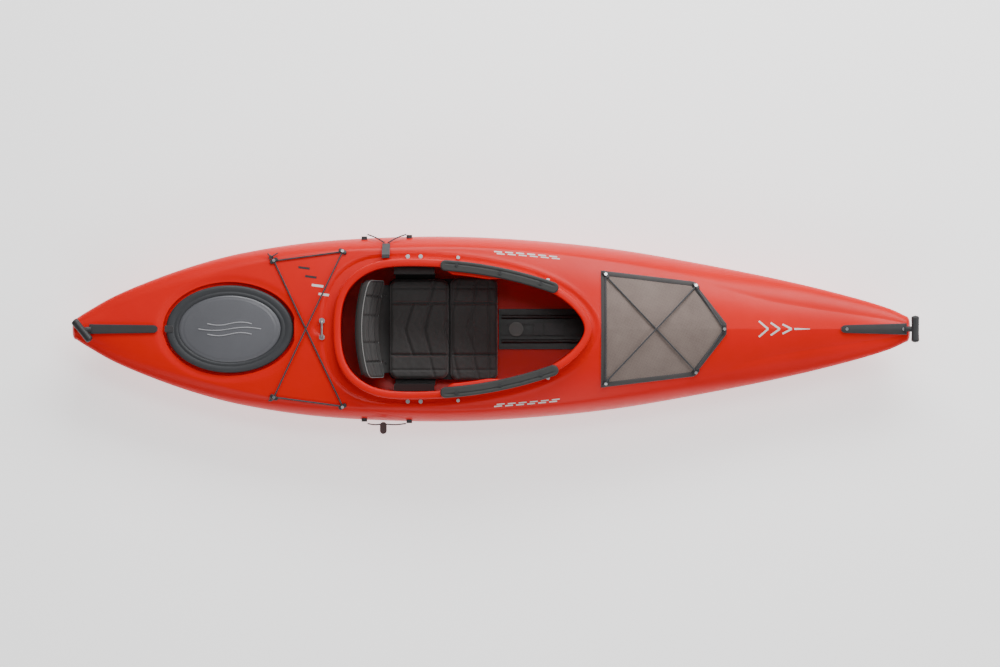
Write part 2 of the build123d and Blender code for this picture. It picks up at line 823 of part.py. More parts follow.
def seat_base():
    """A moulded pan on two runners and two cross webs, with ears for the back's hinge pins."""
    length = seat_front - seat_aft
    middle = (seat_front + seat_aft) / 2
    pan = Box(length, 2 * seat_half_width, plate_thickness)
    pan = Pos(middle, 0, seat_height - plate_thickness / 2) * pan
    pan = fillet(pan.edges().filter_by(Axis.Z), 30)
    web_height = seat_height - pedestal_low - 1
    web_z = pedestal_low + web_height / 2
    for side in (1, -1):
        pan += Pos(middle, side * web_y, web_z) * Box(length - 50, web_thickness, web_height)
        ear_height = back_hinge_z + 12 - pedestal_low
        ear = Box(ear_length, plate_thickness, ear_height)
        arm = Box(2 * ear_length, plate_thickness, seat_height - pedestal_low)
        pan += Pos(back_hinge_x, side * ear_y, pedestal_low + ear_height / 2) * ear
        pan += Pos(seat_aft, side * ear_y, (seat_height + pedestal_low) / 2) * arm
    for x in (seat_aft + 40, seat_front - 40):
        pan += Pos(x, 0, web_z) * Box(plate_thickness, 2 * web_y, web_height)
    for side in (1, -1):
        ear_pin = Rotation(90, 0, 0) * Cylinder(hinge_radius + running_gap, 6 * plate_thickness)
        pan -= Pos(back_hinge_x, side * ear_y, back_hinge_z) * ear_pin
    return pan


lifter_front = seat_front - 6
lifter_plate = 4
lifter_travel = 16


def rear_cushion():
    length = seat_split - 1.5 - (seat_aft + 22)
    middle = (seat_split - 1.5 + seat_aft + 22) / 2
    block = Box(length, 2 * seat_half_width - 30, cushion_thickness)
    block = Pos(middle, 0, cushion_low + cushion_thickness / 2) * block
    return fillet(block.edges().filter_by(Axis.Z), 25)


def lifter():
    """The hinged plate that raises the front of the seat, with its knuckle."""
    length = lifter_front - seat_split - 8
    middle = (lifter_front + seat_split + 8) / 2
    low = cushion_low
    plate = Box(length, 2 * seat_half_width - 24, lifter_plate)
    plate = Pos(middle, 0, low + lifter_plate / 2) * plate
    return fillet(plate.edges().filter_by(Axis.Z), 20)


def front_cushion():
    low = cushion_low + lifter_plate + gap
    high = cushion_low + cushion_thickness
    aft = seat_split + 3
    relief = (high - low) * tan(radians(lifter_travel + 2))
    side = Polyline((aft, low), (seat_front, low), (seat_front, high), (aft + relief, high), close=True)
    block = extrude(Plane.XZ * make_face(Wire(side.edges())), seat_half_width + 3, both=True)
    return fillet(block.edges().filter_by(Axis.Z), 25)


def hanger():
    """The side plate that ties the seat to the deck bolts: a cheek with a foot at each end."""
    length = hanger_front - hanger_aft
    middle = (hanger_front + hanger_aft) / 2
    low = seat_height - 2 * plate_thickness - gap
    cheek = Pos(middle, hanger_y, low + over_all / 2) * Box(length, plate_thickness, over_all)
    cheek &= hull_form(wall + gap)
    bridge_width = 80 * cockpit_across + 14
    bridge = Box(length, bridge_width, over_all)
    bridge = Pos(middle, hanger_y + bridge_width / 2 - 2, over_all / 2) * bridge
    under_deck = bridge & (inside_form - hull_form(wall + gap + plate_thickness))
    upper = under_deck & Pos(0, 0, over_all) * Box(hull_length, beam, over_all)
    foot = Pos(middle, hanger_y - 19, low + plate_thickness / 2) * Box(length, 42, plate_thickness)
    return cheek + foot + upper


shell_low = 34
pad_bottom = 40


def back_slab(near, far, low, high, half_width):
    """A slab of the backrest, curved forward at its wings, leaning back about the hinge."""
    radius = (back_half_width**2 + back_wrap**2) / (2 * back_wrap)
    standing = (Align.CENTER, Align.CENTER, Align.MIN)
    outer = Pos(radius + near, 0, 0) * Cylinder(radius, high - low, align=standing)
    inner = Pos(radius + far, 0, -1) * Cylinder(radius, high - low + 2, align=standing)
    window = Pos(near + back_wrap, 0, 0) * Box(4 * back_wrap, 2 * half_width, 3 * high, align=standing)
    slab = (outer - inner) & window
    return Pos(back_hinge_x, 0, back_hinge_z) * Rotation(0, -back_lean, 0) * Pos(0, 0, low) * slab


def back_pin(side):
    return Pos(back_hinge_x, side * ear_y, back_hinge_z) * Rotation(90, 0, 0) * Cylinder(hinge_radius, 26)


def back_shell():
    """The stiff back plate with the two lugs that ride on the hinge pins."""
    far = -pad_thickness - 2 * gap
    shell = back_slab(-pad_thickness - shell_back, far, shell_low, back_height - 8, back_half_width - 12)
    for side in (1, -1):
        lug = Pos(-14, 0, 19) * Box(40, lug_thickness, 38)
        lug += Rotation(90, 0, 0) * Cylinder(10, lug_thickness)
        shell += Pos(back_hinge_x, side * lug_y, back_hinge_z) * Rotation(0, -back_lean, 0) * lug
    for side in (1, -1):
        bore = Rotation(90, 0, 0) * Cylinder(hinge_radius + running_gap, 60)
        shell -= Pos(back_hinge_x, side * lug_y, back_hinge_z) * bore
    return shell


save("seat_base", seat_base())
save("rear_seat_cushion", rear_cushion())
save("leg_lifter_plate", lifter())
save("front_seat_cushion", front_cushion())
save("port_seat_hanger", hanger())
save("starboard_seat_hanger", mirrored(hanger()))
save("back_hinge_pins", [back_pin(1), back_pin(-1)])
save("backrest_shell", back_shell())
save("backrest_pad", back_slab(-pad_thickness, 0, pad_bottom, back_height, back_half_width))


# Floor spine, in front of the seat
spine_plate = 4
spine_edge_width = 20
spine_web_y = 20
spine_bars = (200, 289, 400, 500)
boss_x = 97
boss_radius = 28
pad_places = ((182, 34), (244, 74))
pad_width = 46


def floor_spine():
    length = spine_front - spine_aft
    middle = (spine_front + spine_aft) / 2
    low = wall + gap
    plate = Pos(middle, 0, low + spine_plate / 2) * Box(length, 2 * spine_half_width, spine_plate)
    edge_y = spine_half_width - spine_edge_width / 2
    bar_width = 2 * (spine_rail_y - spine_rail_radius - 2)
    for side in (1, -1):
        plate += Pos(middle, side * edge_y, low + 6) * Box(length, spine_edge_width, 8)
        plate += Pos(middle, side * spine_web_y, low + spine_height / 2) * Box(length, 4, spine_height)
    for x in spine_bars:
        plate += Pos(x, 0, low + 5) * Box(5, bar_width, 10)
    return plate


def spine_rails():
    """Two round rails that stiffen the floor, with their feet."""
    length = spine_front - spine_aft - 20
    middle = (spine_front + spine_aft) / 2
    low = wall + 2 * gap + spine_plate
    rails = []
    for side in (1, -1):
        rod = Pos(middle, side * spine_rail_y, low + spine_rail_radius)
        rails.append(rod * Rotation(0, 90, 0) * Cylinder(spine_rail_radius, length))
    return rails


def spine_boss():
    low = wall + gap + spine_height + gap
    disc = Pos(boss_x, 0, low + 3) * Cylinder(boss_radius, 6)
    disc -= Pos(boss_x, 0, low + 5) * Cylinder(boss_radius - 12, 6)
    return disc


def spine_pads():
    low = wall + gap + spine_height + gap
    pads = [Pos(x, 0, low + 2) * Box(length, pad_width, 4) for x, length in pad_places]
    return [fillet(p.edges().filter_by(Axis.Z), 4) for p in pads]


save("floor_spine", floor_spine())
save("spine_rails", spine_rails())
save("spine_boss", spine_boss())
save("spine_pads", spine_pads())


# Foot braces
rail_aft_y = 268 * across
rail_front_y = 206 * across
shoe_length = 62


def rail_frame():
    """A frame at the middle of the port rail, X along it towards the bow and Y outboard."""
    turn = degrees(atan2(rail_front_y - rail_aft_y, rail_front - rail_aft))
    return Pos((rail_aft + rail_front) / 2, (rail_aft_y + rail_front_y) / 2, rail_z) * Rotation(0, 0, turn)


rail_run = hypot(rail_front - rail_aft, rail_front_y - rail_aft_y)


def foot_rail():
    bar = Box(rail_run, rail_depth, rail_height)
    for end in (1, -1):
        bar += Pos(end * (rail_run / 2 - 14), 60, 0) * Box(28, 120 + rail_depth, rail_height)
    return (rail_frame() * bar) & inside_form


def foot_pedal():
    """A shoe that slides on the rail, and the plate that the foot pushes."""
    shoe = Pos(0, -4, 0) * Box(shoe_length, rail_depth + 14, rail_height + 12)
    shoe -= Pos(0, 4, 0) * Box(shoe_length + 2, rail_depth + 8.6, rail_height + 0.6)
    plate = Pos(-6, -60, 10) * Box(8, 96, 110)
    plate = fillet(plate.edges().filter_by(Axis.X), 14)
    web = Pos(8, -36, 0) * Box(30, 50, 8)
    return rail_frame() * (shoe + plate + web)


save("port_foot_rail", foot_rail())
save("starboard_foot_rail", mirrored(foot_rail()))
save("port_foot_pedal", foot_pedal())
save("starboard_foot_pedal", mirrored(foot_pedal()))
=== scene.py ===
from math import cos, exp, hypot, pi, radians, sin

import bmesh
import bpy
import numpy as np
from numpy.linalg import norm, solve
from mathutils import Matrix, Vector


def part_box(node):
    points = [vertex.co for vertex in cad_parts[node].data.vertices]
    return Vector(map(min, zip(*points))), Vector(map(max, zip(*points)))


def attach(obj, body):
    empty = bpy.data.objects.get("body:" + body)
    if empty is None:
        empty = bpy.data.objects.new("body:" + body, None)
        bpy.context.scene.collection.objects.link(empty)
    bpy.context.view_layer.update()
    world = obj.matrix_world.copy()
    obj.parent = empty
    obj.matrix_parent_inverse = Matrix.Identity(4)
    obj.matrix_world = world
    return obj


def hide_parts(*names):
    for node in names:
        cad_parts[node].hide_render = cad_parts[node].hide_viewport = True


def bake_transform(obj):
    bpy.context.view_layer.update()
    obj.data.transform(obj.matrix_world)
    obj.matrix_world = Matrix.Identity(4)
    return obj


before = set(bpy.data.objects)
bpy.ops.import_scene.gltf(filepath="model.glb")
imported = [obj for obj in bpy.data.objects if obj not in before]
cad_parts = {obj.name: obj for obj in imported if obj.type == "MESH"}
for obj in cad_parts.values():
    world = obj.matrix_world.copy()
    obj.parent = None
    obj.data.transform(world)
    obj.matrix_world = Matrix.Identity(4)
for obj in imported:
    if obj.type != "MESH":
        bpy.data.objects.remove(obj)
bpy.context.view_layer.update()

MM = 0.001
SIDES = ((1, "port"), (-1, "starboard"))

# Hull
HULL_LENGTH = 3.2
BEAM = 0.710
WALL = 0.005
TIP_ROUND = 0.016
DECK_LOW = 0.2

# Cockpit rim
COCKPIT_AFT, COCKPIT_FRONT, COCKPIT_HALF = -0.571, 0.354, 0.238
RIM_WIDTH, RIM_DROP = 0.029, 0.011
RIM_AFT_Z, RIM_FRONT_Z = 0.322, 0.376

# Stern hatch
HATCH_X, HATCH_LENGTH, HATCH_WIDTH = -0.997, 0.486, 0.334
HATCH_FLOOR, HATCH_MARGIN = 0.245, 0.013
LID_BOTTOM, LID_TOP = 0.246, 0.267

# Station tables, stern -1 to bow 1: shares of the beam and of the half breadth, then millimetres
BREADTH = (
    (-1, 0.085), (-0.97, 0.175), (-0.9, 0.355), (-0.8, 0.545), (-0.7, 0.70), (-0.6, 0.817),
    (-0.45, 0.927), (-0.3, 0.98), (-0.1, 1.0), (0.1, 0.957), (0.3, 0.862), (0.5, 0.708),
    (0.7, 0.526), (0.85, 0.36), (0.95, 0.223), (1, 0.118),
)
KNUCKLE = (
    (-1, 0.56), (-0.83, 0.70), (-0.64, 0.79), (-0.5, 0.84), (-0.3, 0.865), (0, 0.87),
    (0.25, 0.83), (0.45, 0.75), (0.56, 0.65), (0.66, 0.54), (0.75, 0.49), (0.87, 0.45), (1, 0.40),
)
KEEL_Z = (
    (-1, 165), (-0.95, 112), (-0.85, 62), (-0.7, 26), (-0.55, 5), (-0.42, -1), (0, -2),
    (0.4, -1), (0.55, 7), (0.7, 28), (0.85, 70), (0.95, 128), (1, 190),
)
GUNWALE_Z = (
    (-1, 232), (-0.8, 212), (-0.6, 194), (-0.3, 176), (0, 168), (0.3, 172), (0.6, 192),
    (0.85, 225), (1, 256),
)
KNUCKLE_Z = (
    (-1, 254), (-0.85, 251), (-0.62, 254), (-0.4, 264), (-0.1, 266), (0.1, 274), (0.25, 285),
    (0.45, 279), (0.6, 274), (0.75, 270), (0.9, 274), (1, 282),
)
DECK_Z = (
    (-1, 264), (-0.85, 264), (-0.62, 270), (-0.4, 288), (-0.2, 305), (0, 326), (0.2, 350),
    (0.3, 352), (0.5, 325), (0.7, 298), (0.85, 289), (1, 291),
)
RIDGE_DROP = ((-1, 0), (-0.3, 0), (0.2, 4), (0.5, 7), (0.8, 6), (1, 3))
FLAT = ((-1, 10), (-0.85, 45), (-0.6, 112), (-0.3, 165), (0, 175), (0.3, 160), (0.6, 98), (0.85, 40), (1, 14))


def along(shape, station):
    s = min(max(station, -1), 1)
    i = max(k for k in range(len(shape) - 1) if shape[k][0] <= s)
    (s0, v0), (s1, v1) = shape[i], shape[i + 1]
    before = shape[max(i - 1, 0)]
    after = shape[min(i + 2, len(shape) - 1)]
    slope0 = (v1 - before[1]) / (s1 - before[0])
    slope1 = (after[1] - v0) / (after[0] - s0)
    step = s1 - s0
    t = (s - s0) / step
    return (
        (2 * t**3 - 3 * t**2 + 1) * v0
        + (t**3 - 2 * t**2 + t) * step * slope0
        + (3 * t**2 - 2 * t**3) * v1
        + (t**3 - t**2) * step * slope1
    )


def half_section(station, inset):
    """The four curves of half a section as Bezier poles (y, z) in metres, keel to deck middle."""
    shapes = (FLAT, KEEL_Z, GUNWALE_Z, KNUCKLE_Z, DECK_Z, RIDGE_DROP)
    flat, keel, gunwale, knuckle_z, deck, drop = (along(shape, station) * MM for shape in shapes)
    half = BEAM / 2 * along(BREADTH, station)
    knuckle = half * along(KNUCKLE, station) - 0.6 * inset
    half -= inset
    flat -= 0.4 * inset
    keel = max(keel, 0.0) + inset
    knuckle_z -= inset
    deck -= inset
    ridge = deck - drop
    rise = knuckle_z - gunwale
    bilge = (flat + 0.78 * (half - flat), keel + 2 * MM)
    side_low = (half, keel + 0.42 * (gunwale - keel))
    side_high = (half, gunwale + 0.45 * rise)
    shoulder = (knuckle + 0.45 * (half - knuckle), knuckle_z - 0.12 * rise)
    return (
        ((0, keel), (flat, keel + MM)),
        ((flat, keel + MM), bilge, side_low, (half, gunwale)),
        ((half, gunwale), side_high, shoulder, (knuckle, knuckle_z)),
        ((knuckle, knuckle_z), (knuckle / 2, ridge), (0, deck)),
    )


def bezier(poles, t):
    points = [np.array(p, float) for p in poles]
    while len(points) > 1:
        points = [a + (b - a) * t for a, b in zip(points, points[1:])]
    return points[0]


def deck_z(x, y):
    """Deck height inside the knuckle, side height outside it."""
    poles = half_section(2 * x / HULL_LENGTH, 0)
    knuckle = poles[3][0][0]
    if abs(y) <= knuckle:
        return bezier(poles[3], 1 - abs(y) / knuckle)[1]
    low, high = 0.0, 1.0
    for _ in range(30):
        t = (low + high) / 2
        low, high = (t, high) if bezier(poles[2], t)[0] > abs(y) else (low, t)
    return bezier(poles[2], low)[1]


def rim_z(x):
    share = (x - COCKPIT_AFT + RIM_WIDTH) / (COCKPIT_FRONT - COCKPIT_AFT + 2 * RIM_WIDTH)
    return RIM_AFT_Z + share * (RIM_FRONT_Z - RIM_AFT_Z)


def closed_spline(points, count):
    """A smooth closed curve through the points, by chord length."""
    p = np.array(points, float)
    n = len(p)
    slope = np.roll(p, -1, 0) - p
    h = norm(slope, axis=1)
    slope /= h[:, None]
    before, same = np.roll(h, 1), np.eye(n)
    system = 2 * np.diag(before + h)
    system += np.roll(same, -1, 1) * before[:, None] + np.roll(same, 1, 1) * h[:, None]
    m = solve(system, 6 * (slope - np.roll(slope, 1, 0)))
    knots = np.concatenate([[0], np.cumsum(h)])
    curve = []
    for u in np.linspace(0, knots[-1], count, endpoint=False):
        i = min(int(np.searchsorted(knots, u, "right")) - 1, n - 1)
        j = (i + 1) % n
        a, b = knots[i + 1] - u, u - knots[i]
        curve.append(
            (m[i] * a**3 + m[j] * b**3) / (6 * h[i])
            + (p[i] / h[i] - m[i] * h[i] / 6) * a
            + (p[j] / h[i] - m[j] * h[i] / 6) * b
        )
    return np.array(curve)


def unit(vector):
    return vector / norm(vector)


def outward(curve):
    """Unit outward normals of a closed clockwise plan curve."""
    run = np.roll(curve, -1, 0) - np.roll(curve, 1, 0)
    run /= norm(run, axis=1)[:, None]
    return np.stack([-run[:, 1], run[:, 0]], 1)


# The opening's port side, as shares of its length and half width
COCKPIT_SHAPE = (
    (0, 0), (0.035, 0.63), (0.14, 0.935), (0.25, 1.0), (0.41, 0.985),
    (0.65, 0.86), (0.87, 0.57), (0.965, 0.28), (1, 0),
)


def cockpit_curve(count=360):
    length = COCKPIT_FRONT - COCKPIT_AFT
    port = [(COCKPIT_AFT + u * length, v * COCKPIT_HALF) for u, v in COCKPIT_SHAPE]
    starboard = [(x, -y) for x, y in reversed(port[1:-1])]
    return closed_spline(port + starboard, count)


def oval_curve(length, width, count=240):
    """An oval round the hatch's middle."""
    turn = np.linspace(0, 2 * pi, count, endpoint=False)
    return np.stack([HATCH_X - length / 2 * np.cos(turn), width / 2 * np.sin(turn)], 1)


RIM = cockpit_curve()
HATCH = oval_curve(HATCH_LENGTH + 2 * HATCH_MARGIN, HATCH_WIDTH + 2 * HATCH_MARGIN)


def nearest_on(curve, points):
    """For each plan point, the nearest point of a closed curve and the signed distance outside it."""
    a = curve
    b = np.roll(curve, -1, 0)
    ab = b - a
    near = np.zeros_like(points)
    gap = np.zeros(len(points))
    for k, p in enumerate(points):
        t = np.clip(((p - a) * ab).sum(1) / (ab * ab).sum(1), 0, 1)
        q = a + ab * t[:, None]
        d = ((q - p) ** 2).sum(1)
        i = int(d.argmin())
        near[k] = q[i]
        cross = ab[i][0] * (p[1] - a[i][1]) - ab[i][1] * (p[0] - a[i][0])
        gap[k] = np.sqrt(d[i]) * (1 if cross > 0 else -1)
    return near, gap


# Materials
def new_material(name, color, roughness, **values):
    """A principled material. values are its other sockets, with _ for a space."""
    material = bpy.data.materials.new(name)
    material.use_nodes = True
    tree = material.node_tree
    shader = tree.nodes["Principled BSDF"]
    values.update(Base_Color=(*color, 1), Roughness=roughness)
    for key, value in values.items():
        shader.inputs[key.replace("_", " ")].default_value = value
    return material, tree, shader


def node(tree, kind, **inputs):
    """A shader node whose inputs are set to values or linked from other outputs."""
    made = tree.nodes.new("ShaderNode" + kind)
    for key, value in inputs.items():
        if isinstance(value, bpy.types.NodeSocket):
            tree.links.new(value, made.inputs[key])
        else:
            made.inputs[key].default_value = value
    return made


def coordinates(tree, turn=0.0):
    source = node(tree, "TexCoord").outputs["Object"]
    return node(tree, "Mapping", Vector=source, Rotation=(0, 0, turn)).outputs["Vector"]


def noise(tree, vector, scale, detail=3.0, rough=0.5):
    return node(tree, "TexNoise", Vector=vector, Scale=scale, Detail=detail, Roughness=rough).outputs["Fac"]


def wave(tree, vector, scale, direction="X", distortion=0.0):
    made = node(tree, "TexWave", Vector=vector, Scale=scale, Distortion=distortion)
    made.wave_type = "BANDS"
    made.bands_direction = direction
    return made.outputs["Fac"]


def combine(tree, kind, a, b):
    node = tree.nodes.new("ShaderNodeMath")
    node.operation = kind
    for i, value in enumerate((a, b)):
        if isinstance(value, (int, float)):
            node.inputs[i].default_value = value
        else:
            tree.links.new(value, node.inputs[i])
    return node.outputs[0]


def scaled(tree, value, factor, plus):
    return combine(tree, "ADD", combine(tree, "MULTIPLY", value, factor), plus)


def paint(tree, shader, fac, stops):
    """Runs the base colour through a ramp of (place, colour) stops."""
    made = node(tree, "ValToRGB", Fac=fac)
    elements = made.color_ramp.elements
    while len(elements) < len(stops):
        elements.new(0.5)
    for element, (place, color) in zip(elements, stops):
        element.position = place
        element.color = (*color, 1)
    tree.links.new(made.outputs["Color"], shader.inputs["Base Color"])


def bump(tree, shader, height, strength, distance, after=None):
    """Bumps the surface, over an earlier bump where after is given."""
    made = node(tree, "Bump", Height=height, Strength=strength, Distance=distance)
    if after is not None:
        tree.links.new(after, made.inputs["Normal"])
    tree.links.new(made.outputs["Normal"], shader.inputs["Normal"])
    return made.outputs["Normal"]


def tinted(color, factor):
    return tuple(min(c * factor, 1) for c in color)


def moulded(name, color, roughness, grain=900.0, depth=0.0004, strength=0.25, spread=0.12, **values):
    """Moulded plastic or rubber: slight colour drift, uneven gloss and a fine grain."""
    material, tree, shader = new_material(name, color, roughness, **values)
    place = coordinates(tree)
    drift = noise(tree, place, 6.0, 4.0, 0.6)
    paint(tree, shader, drift, [(0.3, tinted(color, 1 - spread)), (0.7, tinted(color, 1 + spread))])
    rough = scaled(tree, noise(tree, place, 45.0, 3.0), 0.14, roughness - 0.07)
    tree.links.new(rough, shader.inputs["Roughness"])
    bump(tree, shader, noise(tree, place, grain, 2.0), strength, depth)
    return material


def woven(name, color, pitch, roughness=0.85, lift=0.0005, light_and_tone_spread=0.35, turn=0.0, sheen=0.25):
    """Plain weave cloth: over and under bands, painted lighter on their crowns as painted highlight and
    darker in the gaps as painted shade.
    """
    material, tree, shader = new_material(name, color, roughness, Sheen_Weight=sheen, Sheen_Roughness=0.5)
    place = coordinates(tree, turn=turn)
    scale = 0.5 / pitch / pi
    warp = wave(tree, place, scale, "X", 0.3)
    weft = wave(tree, place, scale, "Y", 0.3)
    cross = combine(tree, "MULTIPLY", warp, weft)
    drift = noise(tree, place, 9.0, 5.0, 0.6)
    painted_light_and_tone = scaled(tree, cross, 0.7, combine(tree, "MULTIPLY", drift, 0.5))
    # The ramp paints shade into the gaps and a highlight on the crowns, over a random tone drift.
    paint(tree, shader, painted_light_and_tone, [(0.1, tinted(color, 1 - light_and_tone_spread)), (0.9, tinted(color, 1 + light_and_tone_spread))])
    bump(tree, shader, cross, 0.5, lift)
    return material


def hull_material():
    color = (0.70, 0.003, 0.001)
    material, tree, shader = new_material(
        "hull_red", color, 0.36, Coat_Weight=0.04, Coat_Roughness=0.2, IOR=1.45, Specular_IOR_Level=0.26,
        Subsurface_Weight=0.04, Subsurface_Radius=(0.004, 0.001, 0.0005),
    )
    place = coordinates(tree)
    drift = noise(tree, place, 2.2, 5.0, 0.55)
    paint(tree, shader, drift, [(0.25, (0.62, 0.002, 0.001)), (0.6, color), (0.85, (0.76, 0.005, 0.0015))])
    rough = scaled(tree, noise(tree, place, 30.0, 5.0, 0.6), 0.16, 0.28)
    tree.links.new(rough, shader.inputs["Roughness"])
    peel = noise(tree, place, 260.0, 3.0, 0.5)
    first = bump(tree, shader, peel, 0.22, 0.0006)
    bump(tree, shader, noise(tree, place, 12.0, 3.0), 0.12, 0.004, after=first)
    return material


def steel_material():
    material, tree, shader = new_material("stainless", (0.42, 0.42, 0.43), 0.3, Metallic=1.0)
    place = coordinates(tree)
    brushed = noise(tree, place, 500.0, 2.0)
    tree.links.new(scaled(tree, brushed, 0.25, 0.2), shader.inputs["Roughness"])
    bump(tree, shader, brushed, 0.15, 0.0002)
    return material


def cord_material():
    """Braided sheath: two crossing sets of fine diagonal bands."""
    material, tree, shader = new_material("braided_cord", (0.018, 0.018, 0.02), 0.7, Sheen_Weight=0.3)
    first = wave(tree, coordinates(tree, turn=0.6), 130.0, "X", 0.5)
    second = wave(tree, coordinates(tree, turn=-0.6), 130.0, "Y", 0.5)
    braid = combine(tree, "MAXIMUM", first, second)
    paint(tree, shader, braid, [(0.2, (0.008, 0.008, 0.009)), (0.9, (0.045, 0.045, 0.05))])
    bump(tree, shader, braid, 0.6, 0.0006)
    return material


def mesh_material():
    """Open woven mesh: light threads with a painted highlight on their crowns, round holes painted dark as
    painted shade, on a fine square pitch.
    """
    color = (0.20, 0.150, 0.130)
    material, tree, shader = new_material("deck_mesh", color, 0.8, Sheen_Weight=0.2)
    place = coordinates(tree, turn=0.35)
    warp = wave(tree, place, 75.0, "X", 0.2)
    weft = wave(tree, place, 75.0, "Y", 0.2)
    threads = combine(tree, "MAXIMUM", warp, weft)
    patches = noise(tree, coordinates(tree), 14.0, 4.0, 0.6)
    painted_light_and_tone = scaled(tree, threads, 0.75, combine(tree, "MULTIPLY", patches, 0.4))
    # The first stop is painted shade in the holes, the last a painted highlight on the threads' crowns; the
    # patches are random tone.
    paint(tree, shader, painted_light_and_tone, [(0.3, (0.060, 0.042, 0.036)), (0.75, color), (1.0, (0.25, 0.195, 0.17))])
    bump(tree, shader, threads, 0.6, 0.0006)
    return material


RED = hull_material()
STEEL = steel_material()
CORD = cord_material()
MESH = mesh_material()
BLACK = moulded("black_nylon", (0.022, 0.022, 0.024), 0.48)
SATIN = moulded("satin_black", (0.016, 0.015, 0.015), 0.42, grain=400.0)
BOSS = moulded("boss_grey", (0.085, 0.08, 0.076), 0.35, grain=400.0)
# Near-black seat pan and hangers: their own black plastic, made darker than the satin black as painted shade
# round the seat.
PAN_AND_SHADE = moulded("seat_pan_and_shade", (0.010, 0.010, 0.010), 0.6, grain=400.0)
RUBBER = moulded("hatch_rubber", (0.028, 0.030, 0.034), 0.55, grain=300.0, strength=0.35)
PANEL = moulded("hatch_panel", (0.095, 0.097, 0.108), 0.42, grain=1200.0, spread=0.08, Coat_Weight=0.15)
HOOK = moulded("hook_rubber", (0.06, 0.03, 0.03), 0.5)
FOAM = moulded("pad_foam", (0.034, 0.035, 0.034), 0.7, grain=1500.0, depth=0.0008, strength=0.5)
GREY_FOAM = moulded("bulkhead_foam", (0.16, 0.16, 0.165), 0.85, grain=500.0, depth=0.0012, strength=0.5)
ALUMINIUM = moulded("rail_aluminium", (0.55, 0.55, 0.57), 0.35, Metallic=1.0)
WEBBING = woven("webbing", (0.032, 0.031, 0.033), 0.0022, lift=0.0006)
SEAT_CLOTH = woven("seat_cloth", (0.046, 0.044, 0.043), 0.0016, roughness=0.75)
BACK_CLOTH = woven("back_cloth", (0.032, 0.032, 0.031), 0.0022, roughness=0.85, sheen=0.1)
BINDING = woven("binding_tape", (0.055, 0.05, 0.05), 0.002)
PIPING = woven("piping", (0.24, 0.24, 0.235), 0.0015, light_and_tone_spread=0.2)
PANEL_RIB = moulded("panel_rib", (0.30, 0.30, 0.32), 0.35, grain=1200.0, spread=0.05)
RED_THREAD = moulded("red_thread", (0.20, 0.03, 0.03), 0.7)
GREY_THREAD = moulded("grey_thread", (0.09, 0.09, 0.09), 0.8)
MARK_LIGHT = moulded("mark_light", (0.72, 0.70, 0.68), 0.45)
MARK_DARK = moulded("mark_dark", (0.03, 0.02, 0.02), 0.45)


# Making and placing pieces
def add_object(name, data):
    thing = bpy.data.objects.new(name, data)
    bpy.context.scene.collection.objects.link(thing)
    return thing


def piece(name, verts, faces, material, body="hull", smooth=True):
    mesh = bpy.data.meshes.new(name)
    mesh.from_pydata([tuple(v) for v in verts], [], faces)
    mesh.update()
    mesh.materials.append(material)
    if smooth:
        mesh.polygons.foreach_set("use_smooth", [True] * len(mesh.polygons))
    thing = add_object(name, mesh)
    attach(thing, body)
    return thing


def outward_facing(thing, weld=None):
    """Turns the faces outwards, after joining points that lie within weld of each other."""
    bm = bmesh.new()
    bm.from_mesh(thing.data)
    if weld:
        bmesh.ops.remove_doubles(bm, verts=bm.verts, dist=weld)
        bmesh.ops.dissolve_degenerate(bm, dist=weld / 10, edges=bm.edges)
    bmesh.ops.recalc_face_normals(bm, faces=bm.faces)
    bm.to_mesh(thing.data)
    bm.free()
    return thing


def grid_faces(rows, columns, wrap_rows=False, wrap_columns=False):
    faces = []
    for i in range(rows if wrap_rows else rows - 1):
        for j in range(columns if wrap_columns else columns - 1):
            a = i * columns + j
            b = i * columns + (j + 1) % columns
            c = ((i + 1) % rows) * columns + (j + 1) % columns
            d = ((i + 1) % rows) * columns + j
            faces.append((a, b, c, d))
    return faces


# Hull
def smooth_step(value, low, high):
    t = min(max((value - low) / (high - low), 0), 1)
    return t * t * (3 - 2 * t)


# Moulded deck: the dish round the rim, the dish round the hatch and the scoop at the lock bar
DISH_REACH, DISH_DEPTH, DISH_LIP, LIP_WIDTH = 0.020, 0.005, 0.0018, 0.006
HATCH_DISH, HATCH_DISH_DEPTH = 0.032, 0.0045
LOCK_X, SCOOP_SMALL, SCOOP_LARGE, SCOOP_DEPTH = -0.644, 0.010, 0.027, 0.011


def deck_detail(x, y, rim_gap, hatch_gap):
    """How far the moulded deck dips (negative) or rises from its plain form."""
    dip = 0.0
    outside = rim_gap - RIM_WIDTH
    aft = 1 - smooth_step(x, -0.60, -0.35)
    front = smooth_step(x, 0.2, 0.42)
    reach = DISH_REACH + 0.026 * aft + 0.006 * front
    if outside < reach + 5 * LIP_WIDTH:
        inner = 1 - smooth_step(outside, reach * 0.55, reach)
        dip -= (DISH_DEPTH + 0.004 * aft) * inner
        dip += DISH_LIP * exp(-(((outside - reach - LIP_WIDTH) / LIP_WIDTH) ** 2))
    if hatch_gap < HATCH_DISH + 0.018:
        dip -= HATCH_DISH_DEPTH * (1 - smooth_step(hatch_gap, 0.0, HATCH_DISH))
    scoop = hypot(x - LOCK_X + 0.004, y)
    if x < LOCK_X + 0.012:
        dip -= SCOOP_DEPTH * (1 - smooth_step(scoop, SCOOP_SMALL, SCOOP_LARGE))
    return dip


SAMPLES = (14, 14, 40)  # points on the side, the shoulder and the deck
SKEG_SLOT = (-1.247, -0.963, 0.009)  # aft, front and half width
OUTER_ROWS, INNER_ROWS = 330, 150
INNER_ENDS = (-0.75, 1.35)
DETAIL_ENDS, DETAIL_LOW = (-1.35, 0.55), 0.24
RISER_FOOT = WALL + 0.008


